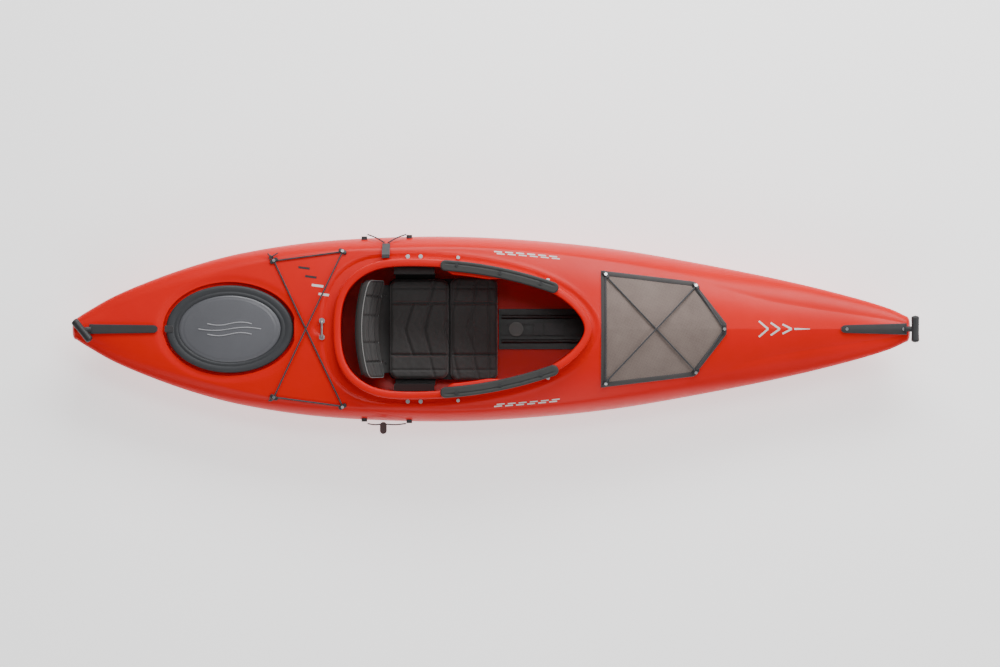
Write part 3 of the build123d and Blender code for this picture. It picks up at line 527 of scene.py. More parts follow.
def section_points(station, inset):
    """Half a section's points. The second one is at the edge of the skeg slot."""
    curves = half_section(station, inset)
    slot = min(SKEG_SLOT[2] / curves[0][1][0], 0.5)
    points = [bezier(curves[0], 0)] + [bezier(curves[0], slot + (1 - slot) * k / 3) for k in range(3)]
    for poles, count in zip(curves[1:], SAMPLES):
        points += [bezier(poles, k / count) for k in range(count)]
    points.append(bezier(curves[3], 1))
    return np.array(points)


def hull_rows(inset, first, last, count):
    """Rows of full section points from port keel over the deck to starboard keel."""
    rows = []
    for x in np.linspace(first, last, count):
        half = section_points(2 * x / HULL_LENGTH, inset)
        ring = np.concatenate([half, half[-2::-1] * (-1, 1)])
        rows.append(np.column_stack([np.full(len(ring), x), ring]))
    return np.array(rows)


def rounded_tip(row, way):
    """Extra rows that close a blunt end with a round nose."""
    centre = np.array([row[0][0], 0, (row[:, 2].min() + row[:, 2].max()) / 2])
    steps = [(1 - 0.6 * (1 - cos(turn)), sin(turn)) for turn in np.linspace(0.12, 1.0, 10) * pi / 2]
    steps += [(share, 1.03 - 0.08 * share) for share in (0.28, 0.16, 0.05)]
    rows = []
    for share, reach in steps:
        shrunk = centre + (row - centre) * share
        shrunk[:, 0] = row[0][0] + way * TIP_ROUND * reach
        rows.append(shrunk)
    return rows


def cut_out(verts, faces, curve):
    """Cuts the deck along a plan curve. The edge that is left moves onto it, at the deck's own height."""
    margin = 0.02
    low, high = curve.min(0) - margin, curve.max(0) + margin
    boxed = ((verts[:, :2] > low) & (verts[:, :2] < high)).all(1) & (verts[:, 2] > DECK_LOW)
    index = np.where(boxed)[0]
    near, gap = nearest_on(curve, verts[index][:, :2])
    inside = np.zeros(len(verts), bool)
    inside[index] = gap < 0
    target = dict(zip(index.tolist(), near))
    kept, moved = [], set()
    for face in faces:
        state = [inside[i] for i in face]
        if all(state):
            continue
        kept.append(face)
        moved.update(i for i, s in zip(face, state) if s)
    out = verts.copy()
    for i in moved:
        rise = verts[i, 2] - deck_z(verts[i, 0], verts[i, 1])
        out[i, :2] = target[i]
        out[i, 2] = deck_z(*target[i]) + rise
    return out, kept


def hull_outer():
    end = HULL_LENGTH / 2 - TIP_ROUND
    rows = hull_rows(0, -end, end, OUTER_ROWS)
    rows = np.array(rounded_tip(rows[0], -1)[::-1] + list(rows) + rounded_tip(rows[-1], 1))
    count, columns = rows.shape[:2]
    verts = rows.reshape(-1, 3)
    faces = grid_faces(count, columns)
    last = (count - 1) * columns
    faces.append(tuple(range(columns)))
    faces.append(tuple(range(last + columns - 1, last - 1, -1)))
    x, z = verts[:, 0], verts[:, 2]
    top = np.where((z > DETAIL_LOW) & (x > DETAIL_ENDS[0]) & (x < DETAIL_ENDS[1]))[0]
    _, rim_gap = nearest_on(RIM, verts[top][:, :2])
    _, hatch_gap = nearest_on(HATCH, verts[top][:, :2])
    for k, i in enumerate(top):
        verts[i, 2] += deck_detail(verts[i, 0], verts[i, 1], rim_gap[k], hatch_gap[k])
    aft, front, half = SKEG_SLOT
    in_slot = (x > aft) & (x < front) & (np.abs(verts[:, 1]) < half + MM / 10) & (z < DECK_LOW)
    faces = [face for face in faces if not all(in_slot[i] for i in face)]
    verts, faces = cut_out(verts, faces, RIM + outward(RIM) * RISER_FOOT)
    return cut_out(verts, faces, HATCH)


def hull_inner():
    rows = hull_rows(WALL, *INNER_ENDS, INNER_ROWS)
    count, columns = rows.shape[:2]
    faces = [face[::-1] for face in grid_faces(count, columns)]
    return cut_out(rows.reshape(-1, 3), faces, RIM)


def ring_strip(curve, profile):
    """A surface round a closed plan curve. profile lists (outward offset, height) for one place on it."""
    normals = outward(curve)
    verts = []
    for point, normal in zip(curve, normals):
        for offset, height in profile(point, normal):
            spot = point + normal * offset
            verts.append((spot[0], spot[1], height))
    columns = len(profile(curve[0], normals[0]))
    return np.array(verts), grid_faces(len(curve), columns, wrap_rows=True)


# Over the rim from its inner edge: distance outwards and drop below the top
RIM_SECTION = (
    (0, 0.006), (0.0006, 0.003), (0.0022, 0.0008), (0.005, 0),
    (RIM_WIDTH * 0.35, -0.0006), (RIM_WIDTH * 0.7, -0.0004), (RIM_WIDTH - 0.006, 0.0002),
    (RIM_WIDTH - 0.0025, 0.0012), (RIM_WIDTH - 0.0006, 0.0035), (RIM_WIDTH, 0.007),
    (RIM_WIDTH, RIM_DROP), (RIM_WIDTH - 0.002, RIM_DROP + 0.0012), (RIM_WIDTH - 0.0045, RIM_DROP),
    (RIM_WIDTH - 0.005, 0.007), (RIM_WIDTH - 0.007, 0.0055), (WALL + 0.004, 0.0058),
    (WALL + 0.0008, 0.009), (WALL, 0.014),
)


def rim_profile(point, normal):
    """The riser's inner face, the rim's crowned top, its lip, and the riser's outer face to the deck."""
    foot = point + normal * RISER_FOOT
    deck = deck_z(*foot) + deck_detail(foot[0], foot[1], RISER_FOOT, 1.0)
    under = deck_z(*point) - WALL
    top = rim_z((point + normal * RIM_WIDTH / 2)[0])
    inner = [(0, under), (0, under + 0.4 * (top - under))]
    foot_rise = ((0, 0.010), (0.0018, 0.004), (0.0045, 0.001), (0.008, 0))
    return (
        inner + [(out, top - drop) for out, drop in RIM_SECTION]
        + [(WALL + out, deck + rise) for out, rise in foot_rise]
    )


def recess_profile(point, normal):
    """The recess's rounded edge, its wall and floor, and the collar round the hatch's opening."""
    deck = deck_z(*point) + deck_detail(point[0], point[1], 1.0, 0.0)
    collar = -(HATCH_MARGIN + 0.026)
    floor = HATCH_FLOOR
    return (
        (0, deck), (-0.0012, deck - 0.0006), (-0.0026, deck - 0.0030), (-0.0030, deck - 0.006),
        (-0.0032, floor + 0.004), (-0.0045, floor + 0.0012), (-0.007, floor),
        (collar, floor), (collar, floor + 0.014), (collar - WALL, floor + 0.014),
        (collar - WALL, floor - WALL), (-0.005, floor - 0.006),
    )


LEDGE_AFT, LEDGE_FULL, LEDGE_FADE, LEDGE_FRONT = -0.19, -0.14, -0.02, 0.10
LEDGE_REACH, LEDGE_DROP = 0.024, 0.012


def thigh_hook(side):
    """The moulded ledge that stands in from the riser under each thigh pad."""
    verts = []
    rows = 0
    for point, normal in zip(RIM, outward(RIM)):
        if point[1] * side <= 0.1 or not LEDGE_AFT < point[0] < LEDGE_FRONT:
            continue
        share = smooth_step(point[0], LEDGE_AFT, LEDGE_FULL)
        reach = LEDGE_REACH * share * (1 - smooth_step(point[0], LEDGE_FADE, LEDGE_FRONT))
        top = rim_z(point[0]) - LEDGE_DROP
        profile = (
            (0.001, 0), (-reach * 0.8, 0.001), (-reach, 0.004),
            (-reach, 0.010), (-reach * 0.7, 0.016), (0.001, 0.030),
        )
        for offset, drop in profile:
            spot = point + normal * offset
            verts.append((spot[0], spot[1], top - drop))
        rows += 1
    return np.array(verts), grid_faces(rows, len(profile))


def shifted(faces, by):
    return [tuple(i + by for i in face) for face in faces]


def join_parts(parts):
    verts, faces, base = [], [], 0
    for part_verts, part_faces in parts:
        verts.extend(part_verts)
        faces += shifted(part_faces, base)
        base += len(part_verts)
    return verts, faces


def make_hull():
    parts = [
        hull_outer(), hull_inner(), ring_strip(RIM, rim_profile), ring_strip(HATCH, recess_profile),
        thigh_hook(1), thigh_hook(-1),
    ]
    verts, faces = join_parts(parts)
    hull = piece("hull_moulding", verts, faces, RED)
    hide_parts("hull_shell")


# Padded pieces
WAIST, UNDER_SWELL = 0.4, 0.5


def rounded_box_gap(u, v, half, corner):
    """How far plan points lie inside a rounded rectangle."""
    qx = np.abs(u) - half[0] + corner
    qy = np.abs(v) - half[1] + corner
    outside = np.hypot(np.maximum(qx, 0), np.maximum(qy, 0))
    return corner - outside - np.minimum(np.maximum(qx, qy), 0)


def round_corners(u, v, half, corner):
    """Pulls the plan points of a rectangle in to its rounded corners."""
    cu, cv = half[0] - corner, half[1] - corner
    du, dv = np.maximum(np.abs(u) - cu, 0), np.maximum(np.abs(v) - cv, 0)
    over = np.hypot(du, dv)
    pull = np.where((du > 0) & (dv > 0) & (over > corner), corner / np.maximum(over, 1e-9), 1.0)
    u = np.where(pull < 1, np.sign(u) * (cu + du * pull), u)
    v = np.where(pull < 1, np.sign(v) * (cv + dv * pull), v)
    return u, v


def pillow(name, half, corner, low, high, place, detail, material, body, step=0.0028, swell=0.014):
    """A closed, crowned pad. detail moves its top; place puts (along, across, up) into the row frame."""
    nu, nv = int(2 * half[0] / step) + 2, int(2 * half[1] / step) + 2
    along_pad, across_pad = (np.linspace(-h, h, n) for h, n in zip(half, (nu, nv)))
    u, v = np.meshgrid(along_pad, across_pad, indexing="ij")
    u, v = round_corners(u, v, half, corner)
    d = np.maximum(rounded_box_gap(u, v, half, corner), 0)
    share = np.clip(d / swell, 0, 1)
    bulge = np.sqrt(1 - (1 - share) ** 2)
    waist = low + WAIST * (high - low)
    top = waist + (high - waist) * bulge + detail(u, v, d) * share
    base = waist - (waist - low) * np.sqrt(1 - (1 - np.clip(d / (UNDER_SWELL * swell), 0, 1)) ** 2)
    upper = np.stack(place(u, v, top), -1).reshape(-1, 3)
    lower = np.stack(place(u, v, base), -1).reshape(-1, 3)
    faces = grid_faces(nu, nv)
    count = nu * nv
    faces += [face[::-1] for face in shifted(faces, count)]
    edge = [i * nv for i in range(nu)] + [(nu - 1) * nv + j for j in range(1, nv)]
    edge += [i * nv + nv - 1 for i in range(nu - 2, -1, -1)] + list(range(nv - 2, 0, -1))
    faces += [(a, b, b + count, a + count) for a, b in zip(edge, edge[1:] + edge[:1])]
    return outward_facing(piece(name, np.concatenate([upper, lower]), faces, material, body), weld=1e-5)


def groove(distance, width, depth):
    return -depth * np.exp(-((distance / width) ** 2))


def wrinkle(u, v, size):
    """Small, fixed creases: sums of a few slanted waves."""
    total = np.sin(u * 95 + 2.1 * np.sin(v * 31)) * np.sin(v * 57 + 1.3 + 1.7 * np.sin(u * 43))
    total += 0.5 * np.sin(u * 210 + v * 130 + 2 * np.sin(v * 70)) * np.sin(v * 160 - u * 60)
    return size * total


SEAT_LOW, LIFTER_LOW, SEAT_TOP = 0.0623, 0.0666, 0.1023
CHEVRONS = ((-0.331, -0.298), (-0.256, -0.229), (-0.180, -0.139))
BOLSTER_SEAM, BOLSTER_CROSS = 0.100, (-0.240, -0.150, -0.070)
REAR_MIDDLE, REAR_HALF = -0.2776, (0.1130, 0.192)
FRONT_MIDDLE, FRONT_HALF, FRONT_RAKE = -0.0665, (0.0915, 0.198), 0.10


def seat_top(x, y):
    """The sewn pattern of the seat: two lengthwise seams, chevron channels and crossings on the bolsters."""
    inner = 1 / (1 + np.exp((np.abs(y) - BOLSTER_SEAM) / 0.003))
    z = groove(np.abs(y) - BOLSTER_SEAM, 0.0045, 0.010)
    span = np.sqrt(y**2 + 0.012**2) - 0.012
    last = CHEVRONS[0][0] - 0.07
    for apex, end in CHEVRONS + ((-0.095, -0.060),):
        line = apex + (end - apex) * span / BOLSTER_SEAM
        depth = 0.0085 if apex < -0.1 else 0.004
        z += groove(x - line, 0.0055, depth) * inner
    for place in BOLSTER_CROSS:
        z += groove(x - place - 0.25 * (np.abs(y) - BOLSTER_SEAM), 0.005, 0.006) * (1 - inner)
    z += groove(np.abs(y) - 0.158, 0.004, 0.004)
    z += groove(x + 0.008, 0.004, 0.005)
    crown = 0.004 * inner * np.cos(np.clip(y / BOLSTER_SEAM, -1, 1) * pi / 2)
    return z + crown + wrinkle(x, y, 0.0009)


def cushion_z(x, y):
    return SEAT_TOP + float(seat_top(x, y))


def make_seat():
    rear = pillow(
        "rear_cushion", REAR_HALF, 0.03, SEAT_LOW, SEAT_TOP, lambda u, v, w: (u + REAR_MIDDLE, v, w),
        lambda u, v, d: seat_top(u + REAR_MIDDLE, v), SEAT_CLOTH, "hull",
    )
    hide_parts("rear_seat_cushion")
    front = pillow(
        "front_cushion", FRONT_HALF, 0.028, LIFTER_LOW, SEAT_TOP,
        lambda u, v, w: (u + FRONT_MIDDLE + (w - LIFTER_LOW) * FRONT_RAKE * (u < 0), v, w),
        lambda u, v, d: seat_top(u + FRONT_MIDDLE, v), SEAT_CLOTH, "leg_lifter",
    )
    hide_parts("front_seat_cushion")


STITCH_HALF, STITCH_HIGH = 0.0005, 0.0005
STITCH_FACES = ((4, 5, 6, 7), (0, 1, 5, 4), (1, 2, 6, 5), (2, 3, 7, 6), (3, 0, 4, 7))


def add_stitch(verts, faces, x, y, length, surface, lifts):
    """One raised stitch along x on a surface, open underneath."""
    base = len(verts)
    for lift in lifts:
        for dx, dy in ((0, -1), (length, -1), (length, 1), (0, 1)):
            place = (x + dx, y + dy * STITCH_HALF)
            verts.append((*place, surface(*place) + lift))
    faces += shifted(STITCH_FACES, base)


def make_seat_stitches():
    """Short red stitches beside the two lengthwise seams."""
    gap, pitch, length, lifts = 0.0065, 0.0065, 0.0036, (0.0002, 0.0009)
    for name, body, first, last in (("rear", "hull", -0.372, -0.178), ("front", "leg_lifter", -0.140, 0.008)):
        verts, faces = [], []
        for side in (1, -1):
            for offset in (-gap, gap):
                for x in np.arange(first, last, pitch):
                    y = side * (BOLSTER_SEAM + offset)
                    add_stitch(verts, faces, x, y, length, cushion_z, lifts)
        outward_facing(piece(f"{name}_cushion_stitches", verts, faces, RED_THREAD, body, smooth=False))


BACK_HINGE = (-0.418, 0.084)
BACK_LEAN = radians(17)
BACK_HALF, BACK_WRAP, BACK_TOP, BACK_BOTTOM, BACK_THICK = 0.187, 0.030, 0.236, 0.040, 0.028
BACK_RADIUS = (BACK_HALF**2 + BACK_WRAP**2) / (2 * BACK_WRAP)
BACK_CORNER, PIPING_DEPTH = 0.03, 0.022


def back_place(u, v, w):
    """u is up the back from its middle, v across it, w its depth towards the paddler."""
    height = u + (BACK_TOP + BACK_BOTTOM) / 2
    depth = w - BACK_THICK + BACK_RADIUS - np.sqrt(BACK_RADIUS**2 - v**2)
    x = BACK_HINGE[0] + depth * cos(BACK_LEAN) - height * sin(BACK_LEAN)
    z = BACK_HINGE[1] + depth * sin(BACK_LEAN) + height * cos(BACK_LEAN)
    return x, v, z


def back_top(u, v, d):
    z = groove(np.abs(v) - 0.126, 0.004, 0.007)
    z += groove(np.abs(v) - 0.052, 0.004, 0.005)
    z += groove(u - 0.035 + 0.1 * np.abs(v), 0.004, 0.005)
    z += groove(u + 0.040 + 0.1 * np.abs(v), 0.004, 0.005)
    return z + wrinkle(u, v, 0.0008)


def strand(name, points, radius, material, body="hull", closed=False):
    """A round cord, piping or thread through the points."""
    data = bpy.data.curves.new(name, "CURVE")
    data.dimensions = "3D"
    data.bevel_depth = radius
    data.bevel_resolution = 3
    data.resolution_u = 6
    spline = data.splines.new("NURBS")
    spline.points.add(len(points) - 1)
    for target, source in zip(spline.points, points):
        target.co = (*source, 1)
    spline.order_u = 3
    spline.use_endpoint_u = not closed
    spline.use_cyclic_u = closed
    data.use_fill_caps = True
    data.materials.append(material)
    thing = add_object(name, data)
    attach(thing, body)
    return thing


def make_back():
    half = ((BACK_TOP - BACK_BOTTOM) / 2, BACK_HALF)
    pad = pillow(
        "back_pad", half, BACK_CORNER, 0.0, BACK_THICK, back_place, back_top,
        BACK_CLOTH, "backrest", swell=0.011,
    )
    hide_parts("backrest_pad")
    turn = np.linspace(0, 2 * pi, 120, endpoint=False)
    u, v = np.cos(turn), np.sin(turn)
    stretch = 1 / np.maximum(np.abs(u), np.abs(v))
    u, v = round_corners(u * stretch * half[0], v * stretch * half[1], half, BACK_CORNER)
    loop = np.stack(back_place(u * 0.985, v * 0.992, PIPING_DEPTH), -1).tolist()
    strand("back_piping", loop, 0.0016, PIPING, "backrest", closed=True)


# The dark cloth sheet that stands in as painted shade between the seat and the back
SHADE_CLOTH_HALF, SHADE_CLOTH_FRONT, SHADE_CLOTH_Z = 0.170, -0.386, 0.072


def make_shade_cloth():
    """A dark cloth sheet that closes the gap between the seat and the foot of the back, put there as painted
    shade for the shadow in that gap.
    """
    rows, columns = 16, 50
    verts = []
    for i in range(rows):
        s = i / (rows - 1)
        for v in np.linspace(-SHADE_CLOTH_HALF, SHADE_CLOTH_HALF, columns):
            bx, _, bz = back_place(-0.080, v, BACK_THICK * 0.4)
            x = SHADE_CLOTH_FRONT + (float(bx) - SHADE_CLOTH_FRONT) * s
            z = SHADE_CLOTH_Z + (float(bz) - SHADE_CLOTH_Z) * s - 0.010 * sin(pi * s) + 0.0008 * sin(v * 90 + 5 * s)
            verts.append((x, v, z))
    shade_cloth = piece("seat_gap_shade_cloth", verts, grid_faces(rows, columns), BACK_CLOTH)
    shade_cloth.parent = None
    thick = shade_cloth.modifiers.new("cloth", "SOLIDIFY")
    thick.thickness = 0.0012
    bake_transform(shade_cloth)


# Thigh pads
BRACE_ENDS, BRACE_BULGE, BRACE_WIDTH = ((-0.171, 0.241), (0.235, 0.157)), 0.014, 0.042
PAD_LOW, PAD_HIGH = 0.0036, 0.0156


def brace_place(side):
    a, b = (np.array(p) for p in BRACE_ENDS)
    run = norm(b - a)
    forward = (b - a) / run
    across = np.array([-forward[1], forward[0]])
    radius = (run**2 / 4 + BRACE_BULGE**2) / (2 * BRACE_BULGE)
    centre = (a + b) / 2 + across * (BRACE_BULGE - radius)

    def place(u, v, w):
        turn = u / radius
        reach = radius + v
        x = centre[0] + reach * (across[0] * np.cos(turn) + forward[0] * np.sin(turn))
        y = centre[1] + reach * (across[1] * np.cos(turn) + forward[1] * np.sin(turn))
        return x, side * y, rim_z(x) + w

    return place


def make_thigh_pads():
    a, b = (np.array(p) for p in BRACE_ENDS)
    half = (norm(b - a) / 2 + BRACE_WIDTH / 2 + 0.001, BRACE_WIDTH / 2)

    def detail(u, v, d):
        ends = 1 / (1 + np.exp((np.abs(u) - half[0] + 0.02) / 0.003))
        return groove(v - 0.007, 0.0022, 0.0035) * ends + wrinkle(u, v, 0.00015)

    for side, name in SIDES:
        pad = pillow(
            f"{name}_thigh_foam", half, BRACE_WIDTH / 2 - 0.0005, PAD_LOW, PAD_HIGH,
            brace_place(side), detail, FOAM, f"{name}_thigh_brace", step=0.002, swell=0.006,
        )
        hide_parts(f"{name}_thigh_pad")


# Hatch lid
PANEL_LENGTH, PANEL_WIDTH, PANEL_DOME = 0.389, 0.257, 0.005
PANEL_UNDER = LID_BOTTOM + 0.008
PANEL_RIBS = ((0.0, 0.12), (0.020, 0.085), (-0.020, 0.085))  # place across the lid and reach
LID_DEEP = LID_TOP - LID_BOTTOM
# The rubber ring's section: share of the way in from its outer edge, and depth below its top
RING_PROFILE = (
    (0.06, LID_DEEP), (0.0, LID_DEEP - 0.002), (0.0, 0.008), (0.02, 0.004), (0.08, 0.001), (0.2, -0.0005),
    (0.55, 0), (0.62, 0.0015), (0.66, 0.0015), (0.72, 0), (0.93, 0.0003), (1.0, 0.003), (1.02, 0.008),
    (1.0, LID_DEEP),
)


def make_hatch():
    count = 200
    outer = oval_curve(HATCH_LENGTH, HATCH_WIDTH, count)
    inner = oval_curve(PANEL_LENGTH, PANEL_WIDTH, count)
    verts = [(*(a + (b - a) * s), LID_TOP - deep) for a, b in zip(outer, inner) for s, deep in RING_PROFILE]
    faces = grid_faces(count, len(RING_PROFILE), wrap_rows=True, wrap_columns=True)
    ring = piece("hatch_ring", verts, faces, RUBBER, "hatch_lid")
    outward_facing(ring)
    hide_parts("hatch_lid_rim")
    rings = 60
    verts = [(HATCH_X, 0, panel_z(HATCH_X, 0))]
    for k in range(1, rings + 1):
        oval = oval_curve(PANEL_LENGTH * k / rings, PANEL_WIDTH * k / rings, count)
        verts += [(x, y, panel_z(x, y)) for x, y in oval]
    verts += [(x, y, PANEL_UNDER) for x, y in inner]
    verts.append((HATCH_X, 0, PANEL_UNDER))
    faces = [(0, 1 + j, 1 + (j + 1) % count) for j in range(count)]
    faces += shifted(grid_faces(rings + 1, count, wrap_columns=True), 1)
    last = len(verts) - 1
    faces += [(last - 1 - j, last - 1 - (j + 1) % count, last) for j in range(count)]
    panel = piece("hatch_panel", verts, faces, PANEL, "hatch_lid")
    outward_facing(panel)
    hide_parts("hatch_lid_panel")
    for k, (y, reach) in enumerate(PANEL_RIBS):
        points = []
        for s in np.linspace(-1, 1, 15):
            x = HATCH_X + s * reach
            points.append((x, y + 0.006 * sin(s * pi), panel_z(x, y) + 0.0004))
        mark = strand(f"panel_rib_{k}", points, 0.0022, PANEL_RIB, "hatch_lid")


def panel_z(x, y):
    r = hypot((x - HATCH_X) / (PANEL_LENGTH / 2), y / (PANEL_WIDTH / 2))
    edge = 0.003 * smooth_step(r, 0.955, 1.0)
    step = 0.0012 * smooth_step(r, 0.88, 0.92)
    return LID_TOP + 0.001 + PANEL_DOME * (1 - min(r, 1) ** 2) - edge - step


# Generic marks laid on the deck
MARK_LIFT, DECK_STEP = 0.0005, 0.008


def surface_z(x, y):
    points = np.array([[x, y]])
    _, rim_gap = nearest_on(RIM, points)
    _, hatch_gap = nearest_on(HATCH, points)
    return deck_z(x, y) + deck_detail(x, y, rim_gap[0], hatch_gap[0])


def deck_bars(name, bars, material):
    """Thin painted bars on the deck, each from one point to another with a width at each end."""
    parts = []
    for start, end, w0, w1 in bars:
        start, run = np.array(start), np.subtract(end, start)
        across = unit(np.array([-run[1], run[0]]))
        steps = max(int(norm(run) / DECK_STEP), 2)
        verts = []
        for s in np.arange(steps + 1) / steps:
            for side in (-0.5, -0.17, 0.17, 0.5):
                x, y = start + run * s + across * side * (w0 + (w1 - w0) * s)
                verts.append((x, y, surface_z(x, y) + MARK_LIFT))
        parts.append((verts, grid_faces(steps + 1, 4)))
    verts, faces = join_parts(parts)
    return outward_facing(piece(name, verts, faces, material))


def make_marks():
    bow = []
    for k in range(3):
        x, reach = 1.02 + 0.045 * k, 0.030 - 0.006 * k
        bow += [((x, side * reach), (x + 0.035, 0.0), 0.007, 0.007) for side, _ in SIDES]
    bow.append(((1.155, 0.0), (1.215, 0.0), 0.008, 0.002))
    deck_bars("bow_mark", bow, MARK_LIGHT)
    slant = []
    for k in range(4):
        x, y = -0.735 + 0.026 * k, 0.236 - 0.034 * k
        slant.append(((x, y), (x + 0.044, y - 0.006), 0.009, 0.009))
    deck_bars("aft_mark", slant[:2], MARK_DARK)
    deck_bars("aft_mark_light", slant[2:], MARK_LIGHT)
    for side, name in SIDES:
        bars = []
        for k in range(6):
            x = 0.012 + 0.042 * k
            y = side * (side_reach(x) - 0.008)
            bars.append(((x, y), (x + 0.030, y - side * 0.003), 0.005, 0.005))
            bars.append(((x + 0.010, y - side * 0.008), (x + 0.040, y - side * 0.011), 0.004, 0.004))
        deck_bars(f"{name}_side_mark", bars, MARK_LIGHT)


def side_reach(x):
    """How far out the deck's knuckle lies."""
    return BEAM / 2 * along(BREADTH, 2 * x / HULL_LENGTH) * along(KNUCKLE, 2 * x / HULL_LENGTH)


# Knots and small fittings
def knot(name, x, y, z, tails, radius=0.0026, body="hull"):
    """An overhand knot: a small tangled loop, with its loose tails."""
    size = 2.2 * radius
    loop = []
    for t in np.linspace(0, 2 * pi, 18, endpoint=False):
        reach = size * (1 + 0.3 * cos(3 * t))
        loop.append((x + reach * cos(t), y + reach * sin(t), z + 0.6 * size * (1 + sin(3 * t))))
    strand(name, loop, radius, CORD, body, closed=True)
    for k, (tx, ty) in enumerate(tails):
        points = [(x + s * tx, y + s * ty, z + h * size) for s, h in ((0, 1), (0.4, 1.4), (1, 0.5))]
        strand(f"{name}_tail_{k}", points, radius, CORD, body)


# Foredeck mesh, its tape and the end straps
MESH_CORNERS = ((0.418, 0.223), (0.772, 0.181), (0.896, 0.020))
TAPE_WIDTH = 0.018
TAPE_PROFILE = ((0.0, 0.0018), (0.02, 0.0040), (0.5, 0.0046), (0.95, 0.0042), (1.0, 0.0032))  # share in, lift
PANEL_LIFT, CLOTH_THICK = 0.0018, 0.0014


def thicken(thing, thickness, offset=0.0):
    shell = thing.modifiers.new("thickness", "SOLIDIFY")
    shell.thickness = thickness
    shell.offset = offset
    return thing


def mesh_half(x):
    return np.interp(x, *zip(*MESH_CORNERS))


def make_mesh_panel():
    xs = sorted(set(np.linspace(MESH_CORNERS[0][0], MESH_CORNERS[2][0], 70).tolist() + [MESH_CORNERS[1][0]]))
    columns = 61
    verts = []
    for x in xs:
        for v in np.linspace(-1, 1, columns):
            y = v * mesh_half(x)
            slack = 0.0006 * sin(x * 31) * sin(y * 27)
            verts.append((x, y, deck_z(x, y) + PANEL_LIFT + slack))
    panel = thicken(piece("mesh_panel", verts, grid_faces(len(xs), columns), MESH), CLOTH_THICK)
    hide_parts("deck_mesh")
    corners = list(MESH_CORNERS) + [(x, -y) for x, y in reversed(MESH_CORNERS)]
    tape = mesh_tape(corners)


def mesh_tape(corners):
    """Edge tape folded over the panel, mitred at its corners."""
    count = len(corners)
    points = [np.array(c) for c in corners]
    inner = []
    for k, corner in enumerate(points):
        a, b = unit(points[k - 1] - corner), unit(points[(k + 1) % count] - corner)
        middle = unit(a + b)
        sine = abs(a[0] * middle[1] - a[1] * middle[0])
        inner.append(corner + middle * TAPE_WIDTH / sine)
    verts = []
    for k in range(count):
        nxt = (k + 1) % count
        steps = max(int(norm(points[nxt] - points[k]) / DECK_STEP), 3)
        for i in range(steps):
            s = i / steps
            outer = points[k] + (points[nxt] - points[k]) * s
            inside = inner[k] + (inner[nxt] - inner[k]) * s
            for share, lift in TAPE_PROFILE:
                x, y = outer + (inside - outer) * share
                verts.append((x, y, deck_z(x, y) + lift))
    columns = len(TAPE_PROFILE)
    faces = grid_faces(len(verts) // columns, columns, wrap_rows=True)
    tape = thicken(piece("mesh_tape", verts, faces, BINDING), 0.001, -1)
    outward_facing(tape)
    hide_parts("mesh_binding")
    return tape


# Each end strap: piece, node, inner and outer end, width at both ends
STRAPS = (
    ("bow_webbing", "bow_strap", 1.335, 1.584, 0.027, 0.040),
    ("stern_webbing", "stern_strap", -1.273, -1.532, 0.028, 0.035),
)
STRAP_LIFT, STRAP_THICK = 0.0042, 0.0036


def make_straps():
    """Tapered webbing with a round inner end, lying on the deck."""
    steps, columns = 70, 13
    for name, node, x0, x1, w0, w1 in STRAPS:
        way = 1 if x1 > x0 else -1
        verts = []
        for i in range(steps + 1):
            run = abs(x1 - x0) * (i / steps) ** (1.4 if i < 12 else 1.0)
            half = (w0 + (w1 - w0) * run / abs(x1 - x0)) / 2
            if run < w0 / 2:
                half = max(sqrt_safe((w0 / 2) ** 2 - (w0 / 2 - run) ** 2), 0.0015)
            for v in np.linspace(-1, 1, columns):
                x, y = x0 + way * run, half * float(v)
                verts.append((x, y, deck_z(x, y) + STRAP_LIFT - 0.0006 * abs(float(v)) ** 6))
        faces = grid_faces(steps + 1, columns)
        strap = thicken(piece(name, verts, faces, WEBBING), STRAP_THICK, -1 if way > 0 else 1)
        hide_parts(node)


def make_pull_tab():
    centre = HATCH_X - HATCH_LENGTH / 2 + 0.012
    tab = pillow(
        "lid_tab", (0.017, 0.013), 0.005, LID_TOP + 0.0003, LID_TOP + 0.0033,
        lambda u, v, w: (u + centre, v, w), lambda u, v, d: groove(np.abs(v) - 0.010, 0.0008, 0.0005),
        WEBBING, "hatch_lid", step=0.001, swell=0.0015,
    )
    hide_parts("hatch_pull_tab")


# Stitched length of each end strap, and half its width at both ends
STRAP_SEAMS = (("bow", 1.352, 1.580, 0.0135, 0.0195), ("stern", -1.290, -1.528, 0.014, 0.017))
SEAM_INSET, SEAM_PITCH, SEAM_STITCH = 0.0035, 0.006, 0.0038


def make_stitches():
    """A line of stitching along each edge of the end straps."""
    lift = STRAP_LIFT + 0.0007
    for name, x0, x1, half0, half1 in STRAP_SEAMS:
        verts, faces = [], []
        count = int(abs(x1 - x0) / SEAM_PITCH)
        length = SEAM_STITCH * (1 if x1 > x0 else -1)
        for side in (1, -1):
            for k in range(count):
                s = k / count
                x = x0 + (x1 - x0) * s
                y = side * (half0 + (half1 - half0) * s - SEAM_INSET)
                z = deck_z(x, y)
                add_stitch(verts, faces, x, y, length, lambda *_: z, (lift, lift + STITCH_HIGH))
        outward_facing(piece(f"{name}_strap_stitches", verts, faces, GREY_THREAD, smooth=False))


# Each end grip: piece, node, body, the bar's middle, its turn, and where its neck starts
GRIPS = (
    ("bow_handle_moulding", "bow_grip", "bow_handle", (1.614, 0.0), 0.0, 1.5725),
    ("stern_handle_moulding", "stern_grip", "stern_handle", (-1.558, -0.006), radians(39), -1.5235),
)
GRIP_RADIUS, GRIP_HALF, GRIP_RIDGE = 0.016, 0.052, 0.0006


